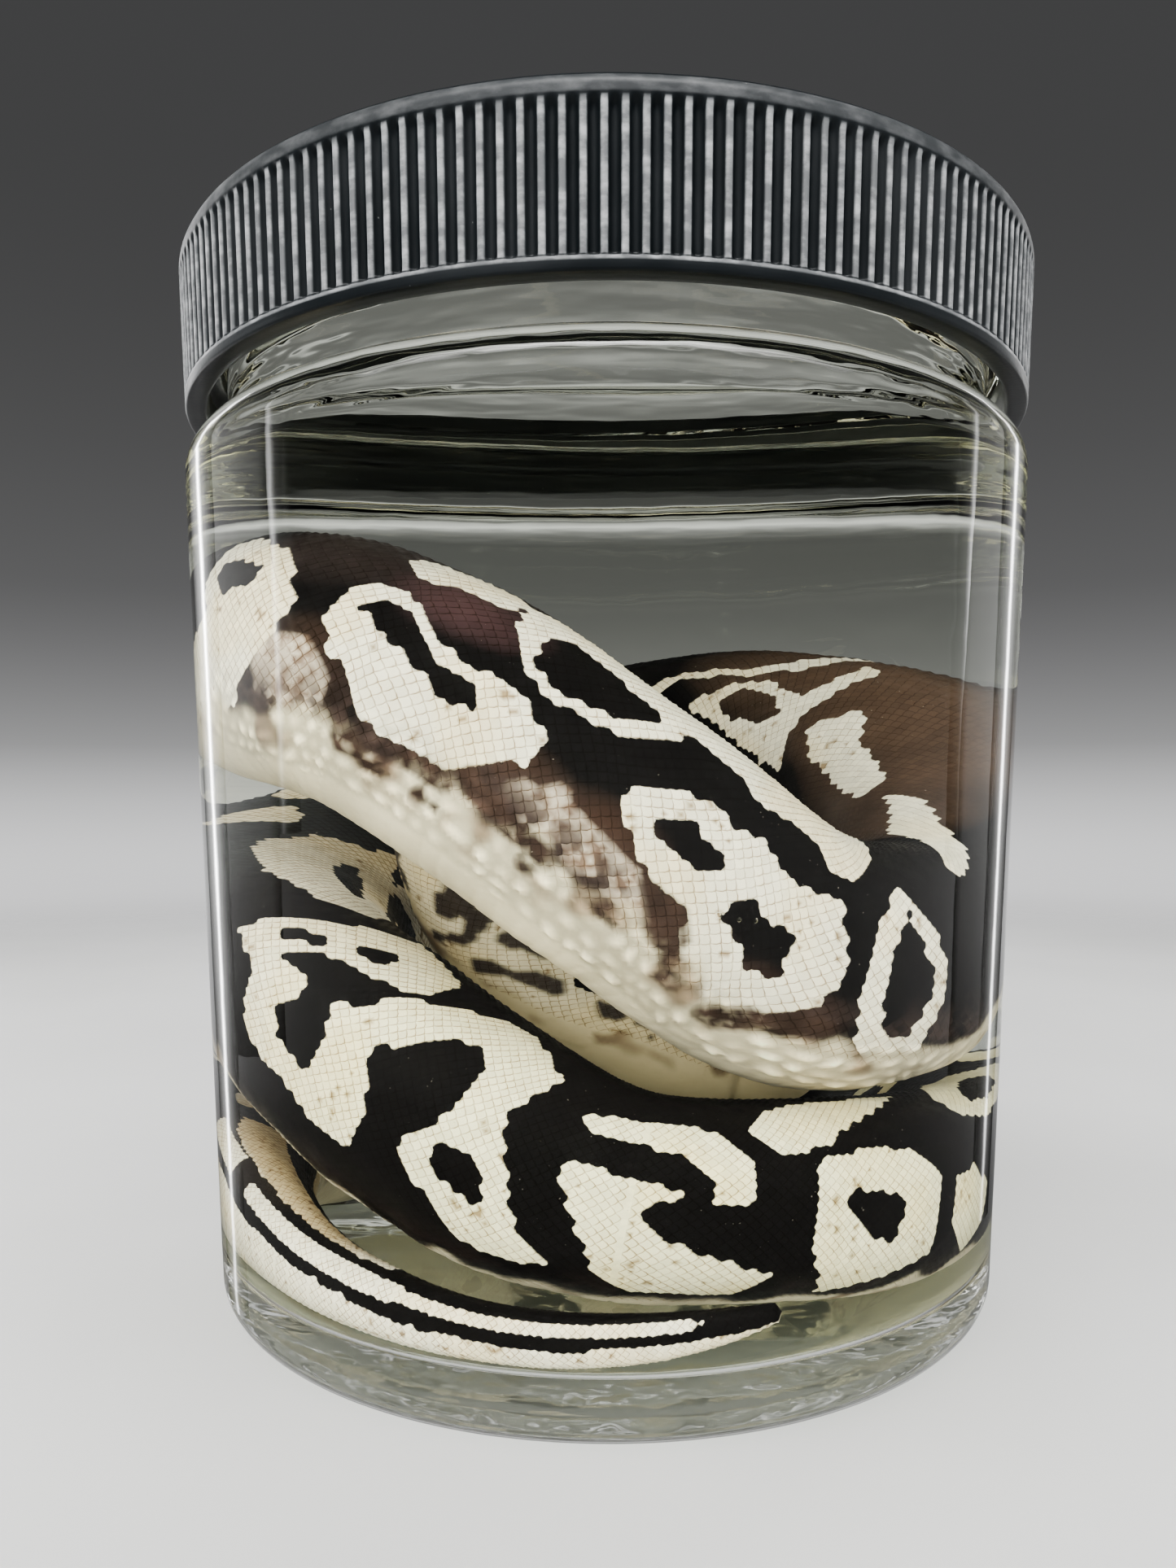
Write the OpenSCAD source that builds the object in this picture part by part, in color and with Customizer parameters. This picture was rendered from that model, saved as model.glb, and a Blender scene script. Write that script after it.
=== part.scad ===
// Specimen jar: a straight-sided clear glass jar with a ribbed screw cap, a cap
// liner, preserving fluid and a coiled snake specimen.
// Millimetres, +Z up, origin at the centre of the base on the resting plane.
// The front of the jar faces -Y.

/* [Glass jar] */
// Outer diameter of the straight wall
jar_d = 73.5; // [73.2:0.1:74.5]
// Thickness of the side wall
wall_t = 3.1; // [3.0:0.1:3.2]
// Thickness of the base
base_t = 4; // [3.8:0.1:4]
// Height of the rim above the resting plane
rim_z = 86.7; // [86.7:0.1:87.2]
// Height of the foot of the neck, where the shoulder ends
neck_z = 75.4; // [75:0.1:75.6]
// Outer diameter of the neck between the threads
neck_d = 66.2; // [66:0.1:66.4]
// Bore of the neck
neck_bore = 61.6; // [61:0.2:62]
// Radius of the rounded heel
heel_r = 2.6; // [2:0.2:3]
// Radius of the rounded shoulder
shoulder_r = 3.4; // [3:0.2:3.6]

/* [Thread] */
// Lift of the cap in one full turn, six threads to the inch
pitch = 4.233; // [4.233]
// Diameter over the crest of the jar's thread
thread_d = 68.6; // [68.4:0.1:68.7]
// Turns of thread on the neck
jar_turns = 1.35; // [1.2:0.05:1.35]
// Turns of thread in the cap
cap_turns = 1.05; // [0.9:0.05:1.1]

/* [Screw cap] */
// Diameter over the ribs
cap_d = 73; // [72.8:0.1:73]
// Height of the closed cap's top face above the resting plane
cap_top = 88.7; // [88.7:0.1:89.2]
// Height of the skirt's lower edge above the resting plane
cap_foot = 77.35; // [77.3:0.05:77.6]
// Bore of the skirt
cap_bore = 69.5; // [69.4:0.1:69.6]
// Number of grip ribs
ribs = 180; // [120:1:180]
// Height of a rib above the groove
rib_h = 0.42; // [0.3:0.02:0.45]
// Thickness of the top panel
panel_t = 1.1; // [1:0.1:1.1]
// Radius of the rounded top edge
cap_edge = 1; // [0.8:0.1:1.2]

/* [Liner] */
// Diameter of the liner
liner_d = 68; // [67.6:0.2:68.4]
// Thickness of the pulp board
board_t = 0.7; // [0.7:0.01:0.71]
// Thickness of the facing film
facing_t = 0.16; // [0.14:0.01:0.16]

/* [Fluid] */
// Height of the fluid's surface above the resting plane
fill_z = 81; // [78:0.5:82]

/* [Hidden] */
jr = jar_d / 2;
ir = jr - wall_t;
nr = neck_d / 2;
nb = neck_bore / 2;
cr = cap_d / 2;
cb = cap_bore / 2;
gr = cr - rib_h;
floor_r = 3;
skin = 0.05;
ceiling_z = cap_top - panel_t;
thread_z = 79.4;
step = 7.5;

// Points of an arc from angle a to angle b around [x, z]
function arc(x, z, r, a, b, n = 8) =
    [for (i = [0 : n]) [x + r * cos(a + (b - a) * i / n), z + r * sin(a + (b - a) * i / n)]];

// The space inside the glass, from the floor up to height top, kept a gap away
// from the glass
function inner(top, gap) = let (r = ir - gap, b = nb - gap, f = base_t + gap) concat(
    [[0, f]],
    arc(r - floor_r, f + floor_r, floor_r, -90, 0),
    arc(r - 3.6, neck_z - 4.4, 3.6, 0, 38, 5),
    [[b + 0.4, neck_z + 0.2], [b, neck_z + 1.6]],
    [[b, top], [0, top]]);

// A thread: a trapezium swept up a right-hand helix, with its root buried in the
// wall. Its height grows over the first 24 degrees and falls over the last 24.
module thread(root, crest, root_w, crest_w, z0, turns, start) {
    n = ceil(turns * 360 / step);
    prof = [for (i = [0 : n]) let (
        a = i * step,
        k = max(0.02, min(1, a / 24, (n * step - a) / 24)),
        c = root + (crest - root) * (0.3 + 0.7 * k),
        z = z0 + pitch * a / 360,
        w = crest_w / 2 * k)
        [[root, z - root_w / 2], [c, z - w], [c, z + w], [root, z + root_w / 2]]];
    pts = [for (i = [0 : n]) for (p = prof[i])
        [p[0] * cos(start + i * step), p[0] * sin(start + i * step), p[1]]];
    out = crest > root;
    fa = concat(
        [[0, 1, 2, 3]],
        [for (i = [0 : n - 1]) for (j = [0 : 3]) for (t = [0, 1]) let (
            a = 4 * i + j, b = 4 * i + (j + 1) % 4)
            t == 0 ? [a, a + 4, b] : [b, a + 4, b + 4]],
        [[4 * n + 3, 4 * n + 2, 4 * n + 1, 4 * n]]);
    polyhedron(points = pts, faces = out ? [for (f = fa) [for (i = [len(f) - 1 : -1 : 0]) f[i]]] : fa,
        convexity = 6);
}

module glass_jar() {
    bore = inner(rim_z - 2, 0);
    color([0.86, 0.9, 0.88, 0.35]) union() {
        rotate_extrude($fn = 128) polygon(concat(
            // underside: a shallow push-up inside a flat bearing ring
            [[0, 0.7], [20, 0.6], [27, 0.2], [28, 0]],
            arc(jr - heel_r, heel_r, heel_r, -90, 0),
            arc(jr - shoulder_r, neck_z - shoulder_r, shoulder_r, 0, 84, 10),
            [[nr, neck_z + 0.25], [nr, rim_z - 0.9]],
            arc(nr - 0.9, rim_z - 0.9, 0.9, 0, 90, 4),
            arc(nb + 0.5, rim_z - 0.5, 0.5, 90, 180, 4),
            [for (i = [len(bore) - 2 : -1 : 0]) bore[i]]));
        thread(nr - 0.5, thread_d / 2, 2.8, 1.3, thread_z, jar_turns, -150);
    }
}

module screw_cap() {
    rib = 360 / ribs;
    color([0.07, 0.075, 0.08]) union() {
        difference() {
            union() {
                // plain bead round the foot of the skirt
                translate([0, 0, cap_foot]) cylinder(r = cr, h = 0.9, $fn = 128);
                // grip ribs round the drum
                translate([0, 0, cap_foot + 0.8]) linear_extrude(cap_top - cap_foot - 1.1 - cap_edge)
                    polygon([for (i = [0 : ribs - 1]) for (q = [[-0.4, gr], [-0.22, cr - 0.04], [0.22, cr - 0.04], [0.4, gr]])
                        [q[1] * cos((i + q[0]) * rib), q[1] * sin((i + q[0]) * rib)]]);
                // top panel, with a plain rounded band that the ribs run up to
                rotate_extrude($fn = 128) polygon(concat(
                    [[0, cap_top - cap_edge - 0.45], [cr, cap_top - cap_edge - 0.45]],
                    arc(cr - cap_edge, cap_top - cap_edge, cap_edge, 0, 90, 8),
                    [[0, cap_top]]));
            }
            translate([0, 0, cap_foot - 1]) cylinder(r = cb, h = ceiling_z - cap_foot + 1, $fn = 128);
        }
        // the cap's thread runs half a pitch below the jar's, so it pulls up against it
        thread(cb + 0.5, nr + 0.45, 2.5, 1.2, thread_z - pitch / 2 + 0.33 * pitch, cap_turns, -150 + 0.33 * 360);
    }
}

module liner_board() {
    color([0.85, 0.82, 0.75])
        translate([0, 0, ceiling_z - 0.01 - board_t]) cylinder(d = liner_d, h = board_t, $fn = 96);
}

module liner_facing() {
    color([0.93, 0.93, 0.92])
        translate([0, 0, ceiling_z - 0.02 - board_t - facing_t]) cylinder(d = liner_d, h = facing_t, $fn = 96);
}

module preserving_fluid() {
    color([0.9, 0.92, 0.8, 0.25])
        rotate_extrude($fn = 128) polygon(inner(fill_z, skin));
}

// The specimen: [x, y, z, radius] along the middle of the body, from the snout
// to the tip of the tail
route = [
    [14.8, -4, 20.9, 1.6], [12.2, -3.4, 21.8, 4.4], [8.5, -2.8, 23, 5.9], [4.4, -2.5, 24.6, 6.3],
    [0.4, -2.2, 26.9, 5.9], [-3.4, -1.4, 30.3, 6.1], [-6.1, 0, 34.7, 6.4], [-7.7, 1.2, 39.7, 6.7],
    [-8.8, 3, 45.8, 6.9], [-11.5, 6, 51.5, 7.4], [-16.5, 8, 55.8, 8.2], [-21.8, 3.4, 57.4, 9],
    [-23.4, -1.5, 57.5, 9.4], [-21.6, -9.4, 56.6, 9.8], [-16.9, -16.4, 55, 9.8], [-11.7, -20.4, 52, 9.8],
    [-7.3, -22.3, 49, 9.8], [-2.3, -23.4, 45.1, 9.8], [2.6, -23.4, 41.3, 9.8], [7.5, -22.2, 37.2, 9.8],
    [12, -20.2, 34, 9.8], [17, -16.2, 32.4, 9.8], [21.8, -8.7, 32.9, 9.8], [23.4, 1, 38.2, 9.8],
    [20.6, 11, 45.8, 9.8], [13.5, 19.2, 49.6, 9.8], [3.5, 23.2, 49, 9.8], [-7, 22.4, 44.5, 9.8],
    [-16.5, 16.7, 37.8, 9.8], [-22.4, 7.2, 33.2, 9.8], [-23.4, -2.6, 30.6, 9.8], [-21.3, -10.6, 28.4, 9.6],
    [-17.6, -16, 25.8, 9.6], [-12, -20.4, 21.9, 9.4], [-6, -23.4, 18.6, 9], [0, -24.9, 16.6, 8.1],
    [6, -24.5, 15.6, 7.8], [12.4, -21.7, 14.8, 7.9], [18.6, -16.7, 13.8, 8], [23.6, -8.6, 13, 8],
    [25.2, 2.5, 12.8, 7.8], [20.6, 15, 12.5, 7.6], [9, 24, 12.2, 7.5], [-5, 25.2, 12, 7.3],
    [-17.6, 19.4, 11.6, 7.1], [-25.4, 7.2, 11.2, 6.7], [-26.3, -5, 10.6, 6], [-24.2, -14.2, 9.4, 4.6],
    [-20.6, -20.6, 8.2, 3.5], [-15.6, -25.4, 7.4, 2.9], [-9.8, -29, 6.9, 2.4], [-3.4, -30.9, 6.8, 2.1],
    [3, -31.4, 7.2, 1.8], [8.3, -31, 7.9, 1.3], [12.3, -30.2, 8.6, 0.7]];

// Catmull-Rom spline through the route, with sub points on each stretch
function at(i) = route[max(0, min(len(route) - 1, i))];
function spline(i, t) = let (a = at(i - 1), b = at(i), c = at(i + 1), d = at(i + 2))
    0.5 * (2 * b + (c - a) * t + (2 * a - 5 * b + 4 * c - d) * t * t + (3 * b - 3 * c + d - a) * t * t * t);
function unit(v) = v / norm(v);

module snake_specimen() {
    sub = 2;
    sides = 12;
    m = (len(route) - 1) * sub;
    mid = [for (k = [0 : m]) spline(floor(min(k, m - 1) / sub), k == m ? 1 : (k % sub) / sub)];
    rings = [for (k = [0 : m]) let (
        c = [mid[k][0], mid[k][1], mid[k][2]],
        q = mid[min(m, k + 1)] - mid[max(0, k - 1)],
        t = unit([q[0], q[1], q[2]]),
        s = unit(cross(t, [0, 0, 1])),
        u = cross(s, t))
        [for (j = [0 : sides - 1]) c + mid[k][3] * (cos(j * 360 / sides) * s + sin(j * 360 / sides) * u)]];
    pts = [for (r = rings) for (p = r) p];
    color([0.9, 0.87, 0.78]) polyhedron(points = pts, faces = concat(
        [[for (j = [sides - 1 : -1 : 0]) j]],
        [for (k = [0 : m - 1]) for (j = [0 : sides - 1]) for (h = [0, 1]) let (
            a = k * sides + j, b = k * sides + (j + 1) % sides)
            h == 0 ? [a, b, a + sides] : [b, b + sides, a + sides]],
        [[for (j = [0 : sides - 1]) m * sides + j]]), convexity = 12);
}

glass_jar();
screw_cap();
liner_board();
liner_facing();
preserving_fluid();
snake_specimen();
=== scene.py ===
import math
import bpy
import numpy as np
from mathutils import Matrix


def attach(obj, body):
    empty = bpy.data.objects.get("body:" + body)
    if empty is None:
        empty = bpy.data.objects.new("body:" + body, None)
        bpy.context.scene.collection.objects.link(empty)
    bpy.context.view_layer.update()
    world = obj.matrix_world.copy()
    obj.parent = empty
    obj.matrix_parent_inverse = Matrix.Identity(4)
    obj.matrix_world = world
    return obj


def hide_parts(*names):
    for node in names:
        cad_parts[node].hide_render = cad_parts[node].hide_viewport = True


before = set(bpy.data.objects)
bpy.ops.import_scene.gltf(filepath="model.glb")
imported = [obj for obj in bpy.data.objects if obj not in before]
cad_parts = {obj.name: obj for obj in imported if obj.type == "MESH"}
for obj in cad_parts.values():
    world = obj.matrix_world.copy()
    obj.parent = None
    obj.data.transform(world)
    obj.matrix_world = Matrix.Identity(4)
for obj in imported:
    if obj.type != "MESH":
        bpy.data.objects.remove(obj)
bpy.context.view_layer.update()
MM = 0.001

# ------------------------------------------------------------------ sizes (mm)
JR, IR, NR, NB = 36.75, 33.65, 33.1, 30.8      # jar, inside, neck, neck's bore
BASE, NECK, RIM = 4.0, 75.4, 86.7
FILL = 81.0                                     # the fluid's surface
PITCH, THREAD_Z = 4.233, 79.4
CR, CB, FOOT, TOP, PANEL = 36.5, 34.75, 77.35, 88.7, 1.1
GR = CR - 0.42
LEVEL_TOP = FILL + 0.8                          # where the meniscus meets the glass


# --------------------------------------------------------------------- helpers
def smooth(a, b, x):
    t = np.clip((np.asarray(x, float) - a) / (b - a), 0, 1)
    return t * t * (3 - 2 * t)


def hashed(i, j, k):
    h = (i.astype(np.int64) * 73856093) ^ (j.astype(np.int64) * 19349663) ^ (k.astype(np.int64) * 83492791)
    h = (h ^ (h >> 13)) * 1274126177
    return ((h ^ (h >> 16)) & 0xFFFF) / 65535.0


def noise(p):
    """Value noise, 0 to 1, at points p (n, 3)."""
    p = np.asarray(p, float)
    f = np.floor(p)
    t = p - f
    t = t * t * (3 - 2 * t)
    i, j, k = (f[:, a].astype(np.int64) for a in range(3))
    out = 0
    for a in (0, 1):
        for b in (0, 1):
            for c in (0, 1):
                w = (t[:, 0] if a else 1 - t[:, 0]) * (t[:, 1] if b else 1 - t[:, 1]) * (t[:, 2] if c else 1 - t[:, 2])
                out = out + w * hashed(i + a, j + b, k + c)
    return out


def arc(x, z, r, a, b, n):
    return [(x + r * math.cos(math.radians(a + (b - a) * i / n)), z + r * math.sin(math.radians(a + (b - a) * i / n))) for i in range(n + 1)]


def line(p, q, n):
    return [(p[0] + (q[0] - p[0]) * i / n, p[1] + (q[1] - p[1]) * i / n) for i in range(n + 1)]


def clean(points):
    out = [points[0]]
    for p in points[1:]:
        if math.hypot(p[0] - out[-1][0], p[1] - out[-1][1]) > 1e-5:
            out.append(p)
    return out


def make(name, verts, faces, materials, index=None, is_smooth=True, sharp=None):
    """A mesh object from points in mm."""
    mesh = bpy.data.meshes.new(name)
    mesh.from_pydata((np.asarray(verts, float) * MM).tolist(), [], faces)
    for m in materials:
        mesh.materials.append(m)
    if index is not None:
        mesh.polygons.foreach_set("material_index", np.asarray(index, np.int32))
    mesh.polygons.foreach_set("use_smooth", np.full(len(mesh.polygons), is_smooth))
    mesh.update()
    if sharp:
        mesh.set_sharp_from_angle(angle=math.radians(sharp))
    ob = bpy.data.objects.new(name, mesh)
    bpy.context.scene.collection.objects.link(ob)
    return ob


def revolve(profile, segments, shift=None):
    """Turn a profile that starts and ends on the axis. shift(r, z, phi, i) gives the radius."""
    prof = np.array(profile)
    phi = np.arange(segments) * 2 * math.pi / segments
    body = prof[1:-1]
    r = np.repeat(body[:, 0], segments)
    z = np.repeat(body[:, 1], segments)
    a = np.tile(phi, len(body))
    i = np.repeat(np.arange(1, len(prof) - 1), segments)
    if shift is not None:
        r, z = shift(r, z, a, i)
    verts = np.vstack([[0, 0, prof[0][1]], np.c_[r * np.cos(a), r * np.sin(a), z], [0, 0, prof[-1][1]]])
    faces, rows = [], []
    n = len(body)
    for k in range(segments):
        faces.append((0, 1 + (k + 1) % segments, 1 + k))
        rows.append(0)
    for q in range(n - 1):
        base = 1 + q * segments
        for k in range(segments):
            k2 = (k + 1) % segments
            faces.append((base + k, base + k2, base + segments + k2, base + segments + k))
            rows.append(q + 1)
    base = 1 + (n - 1) * segments
    last = len(verts) - 1
    for k in range(segments):
        faces.append((base + k, base + (k + 1) % segments, last))
        rows.append(n)
    return verts, faces, rows, prof


def helix(z, phi, z0, start_deg, t0, t1, half_crest, half_root):
    """0 to 1: how far a helical thread stands at height z and angle phi."""
    frac = np.mod(phi - math.radians(start_deg), 2 * math.pi) / (2 * math.pi)
    out = np.zeros_like(z)
    for k in range(-1, 3):
        t = frac + k
        ok = (t > t0) & (t < t1)
        d = np.abs(z - (z0 + PITCH * t))
        h = 1 - smooth(half_crest, half_root, d)
        run = smooth(0, 0.07, t - t0) * smooth(0, 0.07, t1 - t)
        out = np.maximum(out, np.where(ok, h * run, 0))
    return out


# ------------------------------------------------------------------- materials
class Mat:
    def __init__(self, name):
        self.m = bpy.data.materials.new(name)
        self.m.use_nodes = True
        self.nt = self.m.node_tree
        self.nt.nodes.clear()
        self.out = self.node("ShaderNodeOutputMaterial")

    def node(self, kind, **kw):
        n = self.nt.nodes.new(kind)
        for k, v in kw.items():
            if k.startswith("_"):
                setattr(n, k[1:], v)
        return n

    def link(self, a, b):
        self.nt.links.new(a, b)

    def coords(self, scale=(1, 1, 1)):
        t = self.node("ShaderNodeTexCoord")
        m = self.node("ShaderNodeMapping")
        m.inputs["Scale"].default_value = scale
        self.link(t.outputs["Object"], m.inputs["Vector"])
        return m.outputs["Vector"]

    def noise(self, vec, scale, detail=3.0, rough=0.5):
        n = self.node("ShaderNodeTexNoise")
        n.inputs["Scale"].default_value = scale
        n.inputs["Detail"].default_value = detail
        n.inputs["Roughness"].default_value = rough
        self.link(vec, n.inputs["Vector"])
        return n.outputs["Fac"]

    def ramp(self, fac, stops):
        r = self.node("ShaderNodeValToRGB")
        els = r.color_ramp.elements
        els[0].position, els[0].color = stops[0][0], (*stops[0][1], 1)
        els[1].position, els[1].color = stops[-1][0], (*stops[-1][1], 1)
        for pos, col in stops[1:-1]:
            e = els.new(pos)
            e.color = (*col, 1)
        self.link(fac, r.inputs["Fac"])
        return r.outputs["Color"]

    def remap(self, fac, a, b, c, d):
        r = self.node("ShaderNodeMapRange")
        for i, v in enumerate((a, b, c, d)):
            r.inputs[i + 1].default_value = v
        self.link(fac, r.inputs[0])
        return r.outputs[0]

    def mix(self, fac, a, b, blend="MIX"):
        n = self.node("ShaderNodeMix")
        n.data_type = "RGBA"
        n.blend_type = blend
        for sock, v in ((n.inputs[0], fac), (n.inputs[6], a), (n.inputs[7], b)):
            if isinstance(v, (int, float)):
                sock.default_value = v
            elif isinstance(v, tuple):
                sock.default_value = (*v, 1)
            else:
                self.link(v, sock)
        return n.outputs[2]

    def bump(self, height, strength, distance):
        b = self.node("ShaderNodeBump")
        b.inputs["Strength"].default_value = strength
        b.inputs["Distance"].default_value = distance
        self.link(height, b.inputs["Height"])
        return b.outputs["Normal"]

    def principled(self, **kw):
        p = self.node("ShaderNodeBsdfPrincipled")
        for k, v in kw.items():
            s = p.inputs[k.replace("_", " ")]
            if isinstance(v, (int, float)):
                s.default_value = v
            elif isinstance(v, tuple):
                s.default_value = (*v, 1) if len(v) == 3 and s.type == "RGBA" else v
            else:
                self.link(v, s)
        return p

    def surface(self, shader):
        self.link(shader, self.out.inputs["Surface"])
        return self.m


def clear(name, ior, tint, through, wave=None, stretch=(1, 1, 1), rough=0.0, through_it=1.0):
    """Clear glass or liquid whose shadow rays pass straight through."""
    m = Mat(name)
    p = m.principled(Base_Color=tint, Roughness=rough, IOR=ior, Transmission_Weight=through_it)
    if wave:
        h = m.noise(m.coords(stretch), wave[0], 2.0)
        m.link(m.bump(h, wave[1], wave[2]), p.inputs["Normal"])
    t = m.node("ShaderNodeBsdfTransparent")
    t.inputs["Color"].default_value = (*through, 1)
    path = m.node("ShaderNodeLightPath")
    top = m.node("ShaderNodeMath", _operation="MAXIMUM")
    m.link(path.outputs["Is Shadow Ray"], top.inputs[0])
    m.link(path.outputs["Is Diffuse Ray"], top.inputs[1])
    mix = m.node("ShaderNodeMixShader")
    m.link(top.outputs[0], mix.inputs[0])
    m.link(p.outputs[0], mix.inputs[1])
    m.link(t.outputs[0], mix.inputs[2])
    return m.surface(mix.outputs[0])


GLASS_DRY = clear("clear_glass", 1.52, (0.985, 0.995, 0.988), (0.95, 0.965, 0.955), (160.0, 0.05, 0.0004))
GLASS_WET = clear("clear_glass_wetted", 1.52 / 1.36, (0.995, 0.998, 0.99), (0.985, 0.99, 0.98), (160.0, 0.08, 0.0004))
GLASS_DRY_TOP = clear("clear_glass_neck", 1.52, (0.985, 0.995, 0.988), (0.95, 0.965, 0.955), (110.0, 0.30, 0.0004), (1, 1, 5))
GLASS_WET_TOP = clear("clear_glass_neck_wetted", 1.52 / 1.36, (0.995, 0.998, 0.99), (0.985, 0.99, 0.98), (110.0, 0.5, 0.0004), (1, 1, 5))
GLASS_FOOT = clear("clear_glass_foot", 1.52, (0.93, 0.965, 0.87), (0.95, 0.965, 0.955), (220.0, 0.45, 0.0004), (1, 1, 1), 0.03, 0.86)
FLUID_TOP = clear("fluid_surface", 1.36, (1.0, 1.0, 0.98), (0.97, 0.975, 0.95))


def fluid_side():
    m = Mat("fluid_body")
    t = m.node("ShaderNodeBsdfTransparent")
    t.inputs["Color"].default_value = (0.975, 0.985, 0.94, 1)
    return m.surface(t.outputs[0])


def cap_material():
    m = Mat("black_cap")
    at = m.node("ShaderNodeAttribute", _attribute_name="rib")
    rib = m.remap(at.outputs["Fac"], 0.42, 0.96, 0.0, 1.0)
    vec = m.coords()
    broad = m.noise(vec, 90, 4)
    fine = m.noise(vec, 2600, 2)
    scuff = m.noise(m.coords((60, 60, 120)), 9, 4, 0.6)
    base = m.mix(m.remap(broad, 0.35, 0.7, 0, 1), (0.0035, 0.005, 0.006), (0.009, 0.011, 0.0125))
    # crest colour: wear on the rib crests plus a painted highlight along each crest
    crest_wear_highlight = m.mix(m.remap(scuff, 0.42, 0.68, 0.1, 1.0), (0.085, 0.089, 0.092), (0.25, 0.255, 0.258))
    crest = m.node("ShaderNodeMath", _operation="MULTIPLY")
    m.link(rib, crest.inputs[0])
    m.link(m.remap(scuff, 0.3, 0.7, 0.84, 1.0), crest.inputs[1])
    col = m.mix(crest.outputs[0], base, crest_wear_highlight)
    specks = m.remap(m.noise(vec, 2400, 1), 0.80, 0.84, 0, 0.7)
    col = m.mix(specks, col, (0.16, 0.16, 0.155))
    rough = m.remap(broad, 0.3, 0.7, 0.34, 0.46)
    p = m.principled(Base_Color=col, Roughness=rough, IOR=1.49, Specular_IOR_Level=0.5)
    m.link(m.bump(fine, 0.18, 0.00006), p.inputs["Normal"])
    return m.surface(p.outputs[0])


def board_material():
    m = Mat("pulp_board")
    vec = m.coords()
    f = m.noise(vec, 700, 6, 0.7)
    col = m.ramp(f, [(0.3, (0.50, 0.45, 0.36)), (0.55, (0.66, 0.61, 0.51)), (0.75, (0.78, 0.74, 0.66))])
    p = m.principled(Base_Color=col, Roughness=0.9)
    m.link(m.bump(f, 0.5, 0.0001), p.inputs["Normal"])
    return m.surface(p.outputs[0])


def film_material():
    m = Mat("facing_film")
    vec = m.coords()
    f = m.noise(vec, 260, 4)
    col = m.mix(m.remap(f, 0.3, 0.7, 0, 1), (0.80, 0.80, 0.77), (0.88, 0.88, 0.86))
    p = m.principled(Base_Color=col, Roughness=m.remap(f, 0.3, 0.7, 0.2, 0.36))
    m.link(m.bump(f, 0.15, 0.0001), p.inputs["Normal"])
    return m.surface(p.outputs[0])


def skin_material():
    m = Mat("snake_skin")
    dark = m.node("ShaderNodeAttribute", _attribute_name="tone_dark")
    pale = m.node("ShaderNodeAttribute", _attribute_name="tone_pale")
    mark = m.node("ShaderNodeAttribute", _attribute_name="mark")
    rim = m.node("ShaderNodeAttribute", _attribute_name="rim")
    vec = m.coords()
    mottle = m.noise(vec, 900, 4, 0.6)
    fine = m.noise(vec, 4200, 2)
    wander = m.node("ShaderNodeMath", _operation="ADD")
    m.link(mark.outputs["Fac"], wander.inputs[0])
    m.link(m.remap(fine, 0.3, 0.7, -0.05, 0.05), wander.inputs[1])
    col = m.mix(m.remap(wander.outputs[0], 0.44, 0.56, 0.0, 1.0), dark.outputs["Color"], pale.outputs["Color"])
    col = m.mix(m.remap(mottle, 0.35, 0.75, 0.0, 0.30), col, (0.80, 0.76, 0.70), "MULTIPLY")
    # painted shade in the grooves round each scale, heaviest on its tail side, over the skin's darker lines between
    # scales
    edge = m.remap(rim.outputs["Fac"], 0.66, 0.92, 0.0, 1.0)
    soft = m.node("ShaderNodeMath", _operation="MULTIPLY")
    m.link(edge, soft.inputs[0])
    m.link(m.remap(mottle, 0.3, 0.6, 0.40, 1.0), soft.inputs[1])
    col = m.mix(soft.outputs[0], col, m.mix(1.0, col, (0.34, 0.26, 0.18), "MULTIPLY"))
    dust = m.remap(m.noise(vec, 3600, 1), 0.775, 0.82, 0, 0.55)
    col = m.mix(dust, col, (0.34, 0.31, 0.27))
    rough = m.remap(mottle, 0.3, 0.7, 0.30, 0.46)
    p = m.principled(Base_Color=col, Roughness=rough, IOR=1.12)
    m.link(m.bump(fine, 0.12, 0.00005), p.inputs["Normal"])
    return m.surface(p.outputs[0])


# ---------------------------------------------------------------- camera, stage
cam_data = bpy.data.cameras.new("camera")
cam = bpy.data.objects.new("camera", cam_data)
bpy.context.scene.collection.objects.link(cam)
bpy.context.scene.camera = cam
PX = 1403.5
cam_data.sensor_fit = "AUTO"
cam_data.sensor_width = 36.0
cam_data.lens = PX / 1927 * 36.0
cam_data.shift_y = 204.8 / 1927
cam_data.clip_start = 0.005
cam_data.clip_end = 20
pitch, yaw, roll = 0.137, -0.0146, -0.0022
from mathutils import Matrix, Vector
fw = Vector((math.sin(yaw) * math.cos(pitch), math.cos(yaw) * math.cos(pitch), -math.sin(pitch)))
right = Vector((math.cos(yaw), -math.sin(yaw), 0))
up = right.cross(fw)
right2 = math.cos(roll) * right + math.sin(roll) * up
up2 = -math.sin(roll) * right + math.cos(roll) * up
cam.matrix_world = Matrix((
    (right2.x, up2.x, -fw.x, 0.0),
    (right2.y, up2.y, -fw.y, -0.11066),
    (right2.z, up2.z, -fw.z, 0.04594),
    (0, 0, 0, 1)))


def area(name, loc, target, sx, sy, power, colour=(1, 1, 1)):
    d = bpy.data.lights.new(name, "AREA")
    d.shape = "RECTANGLE"
    d.size, d.size_y = sx, sy
    d.energy = power
    d.color = colour
    o = bpy.data.objects.new(name, d)
    o.location = loc
    o.rotation_euler = (Vector(target) - Vector(loc)).to_track_quat("-Z", "Y").to_euler()
    bpy.context.scene.collection.objects.link(o)
    return o


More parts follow.
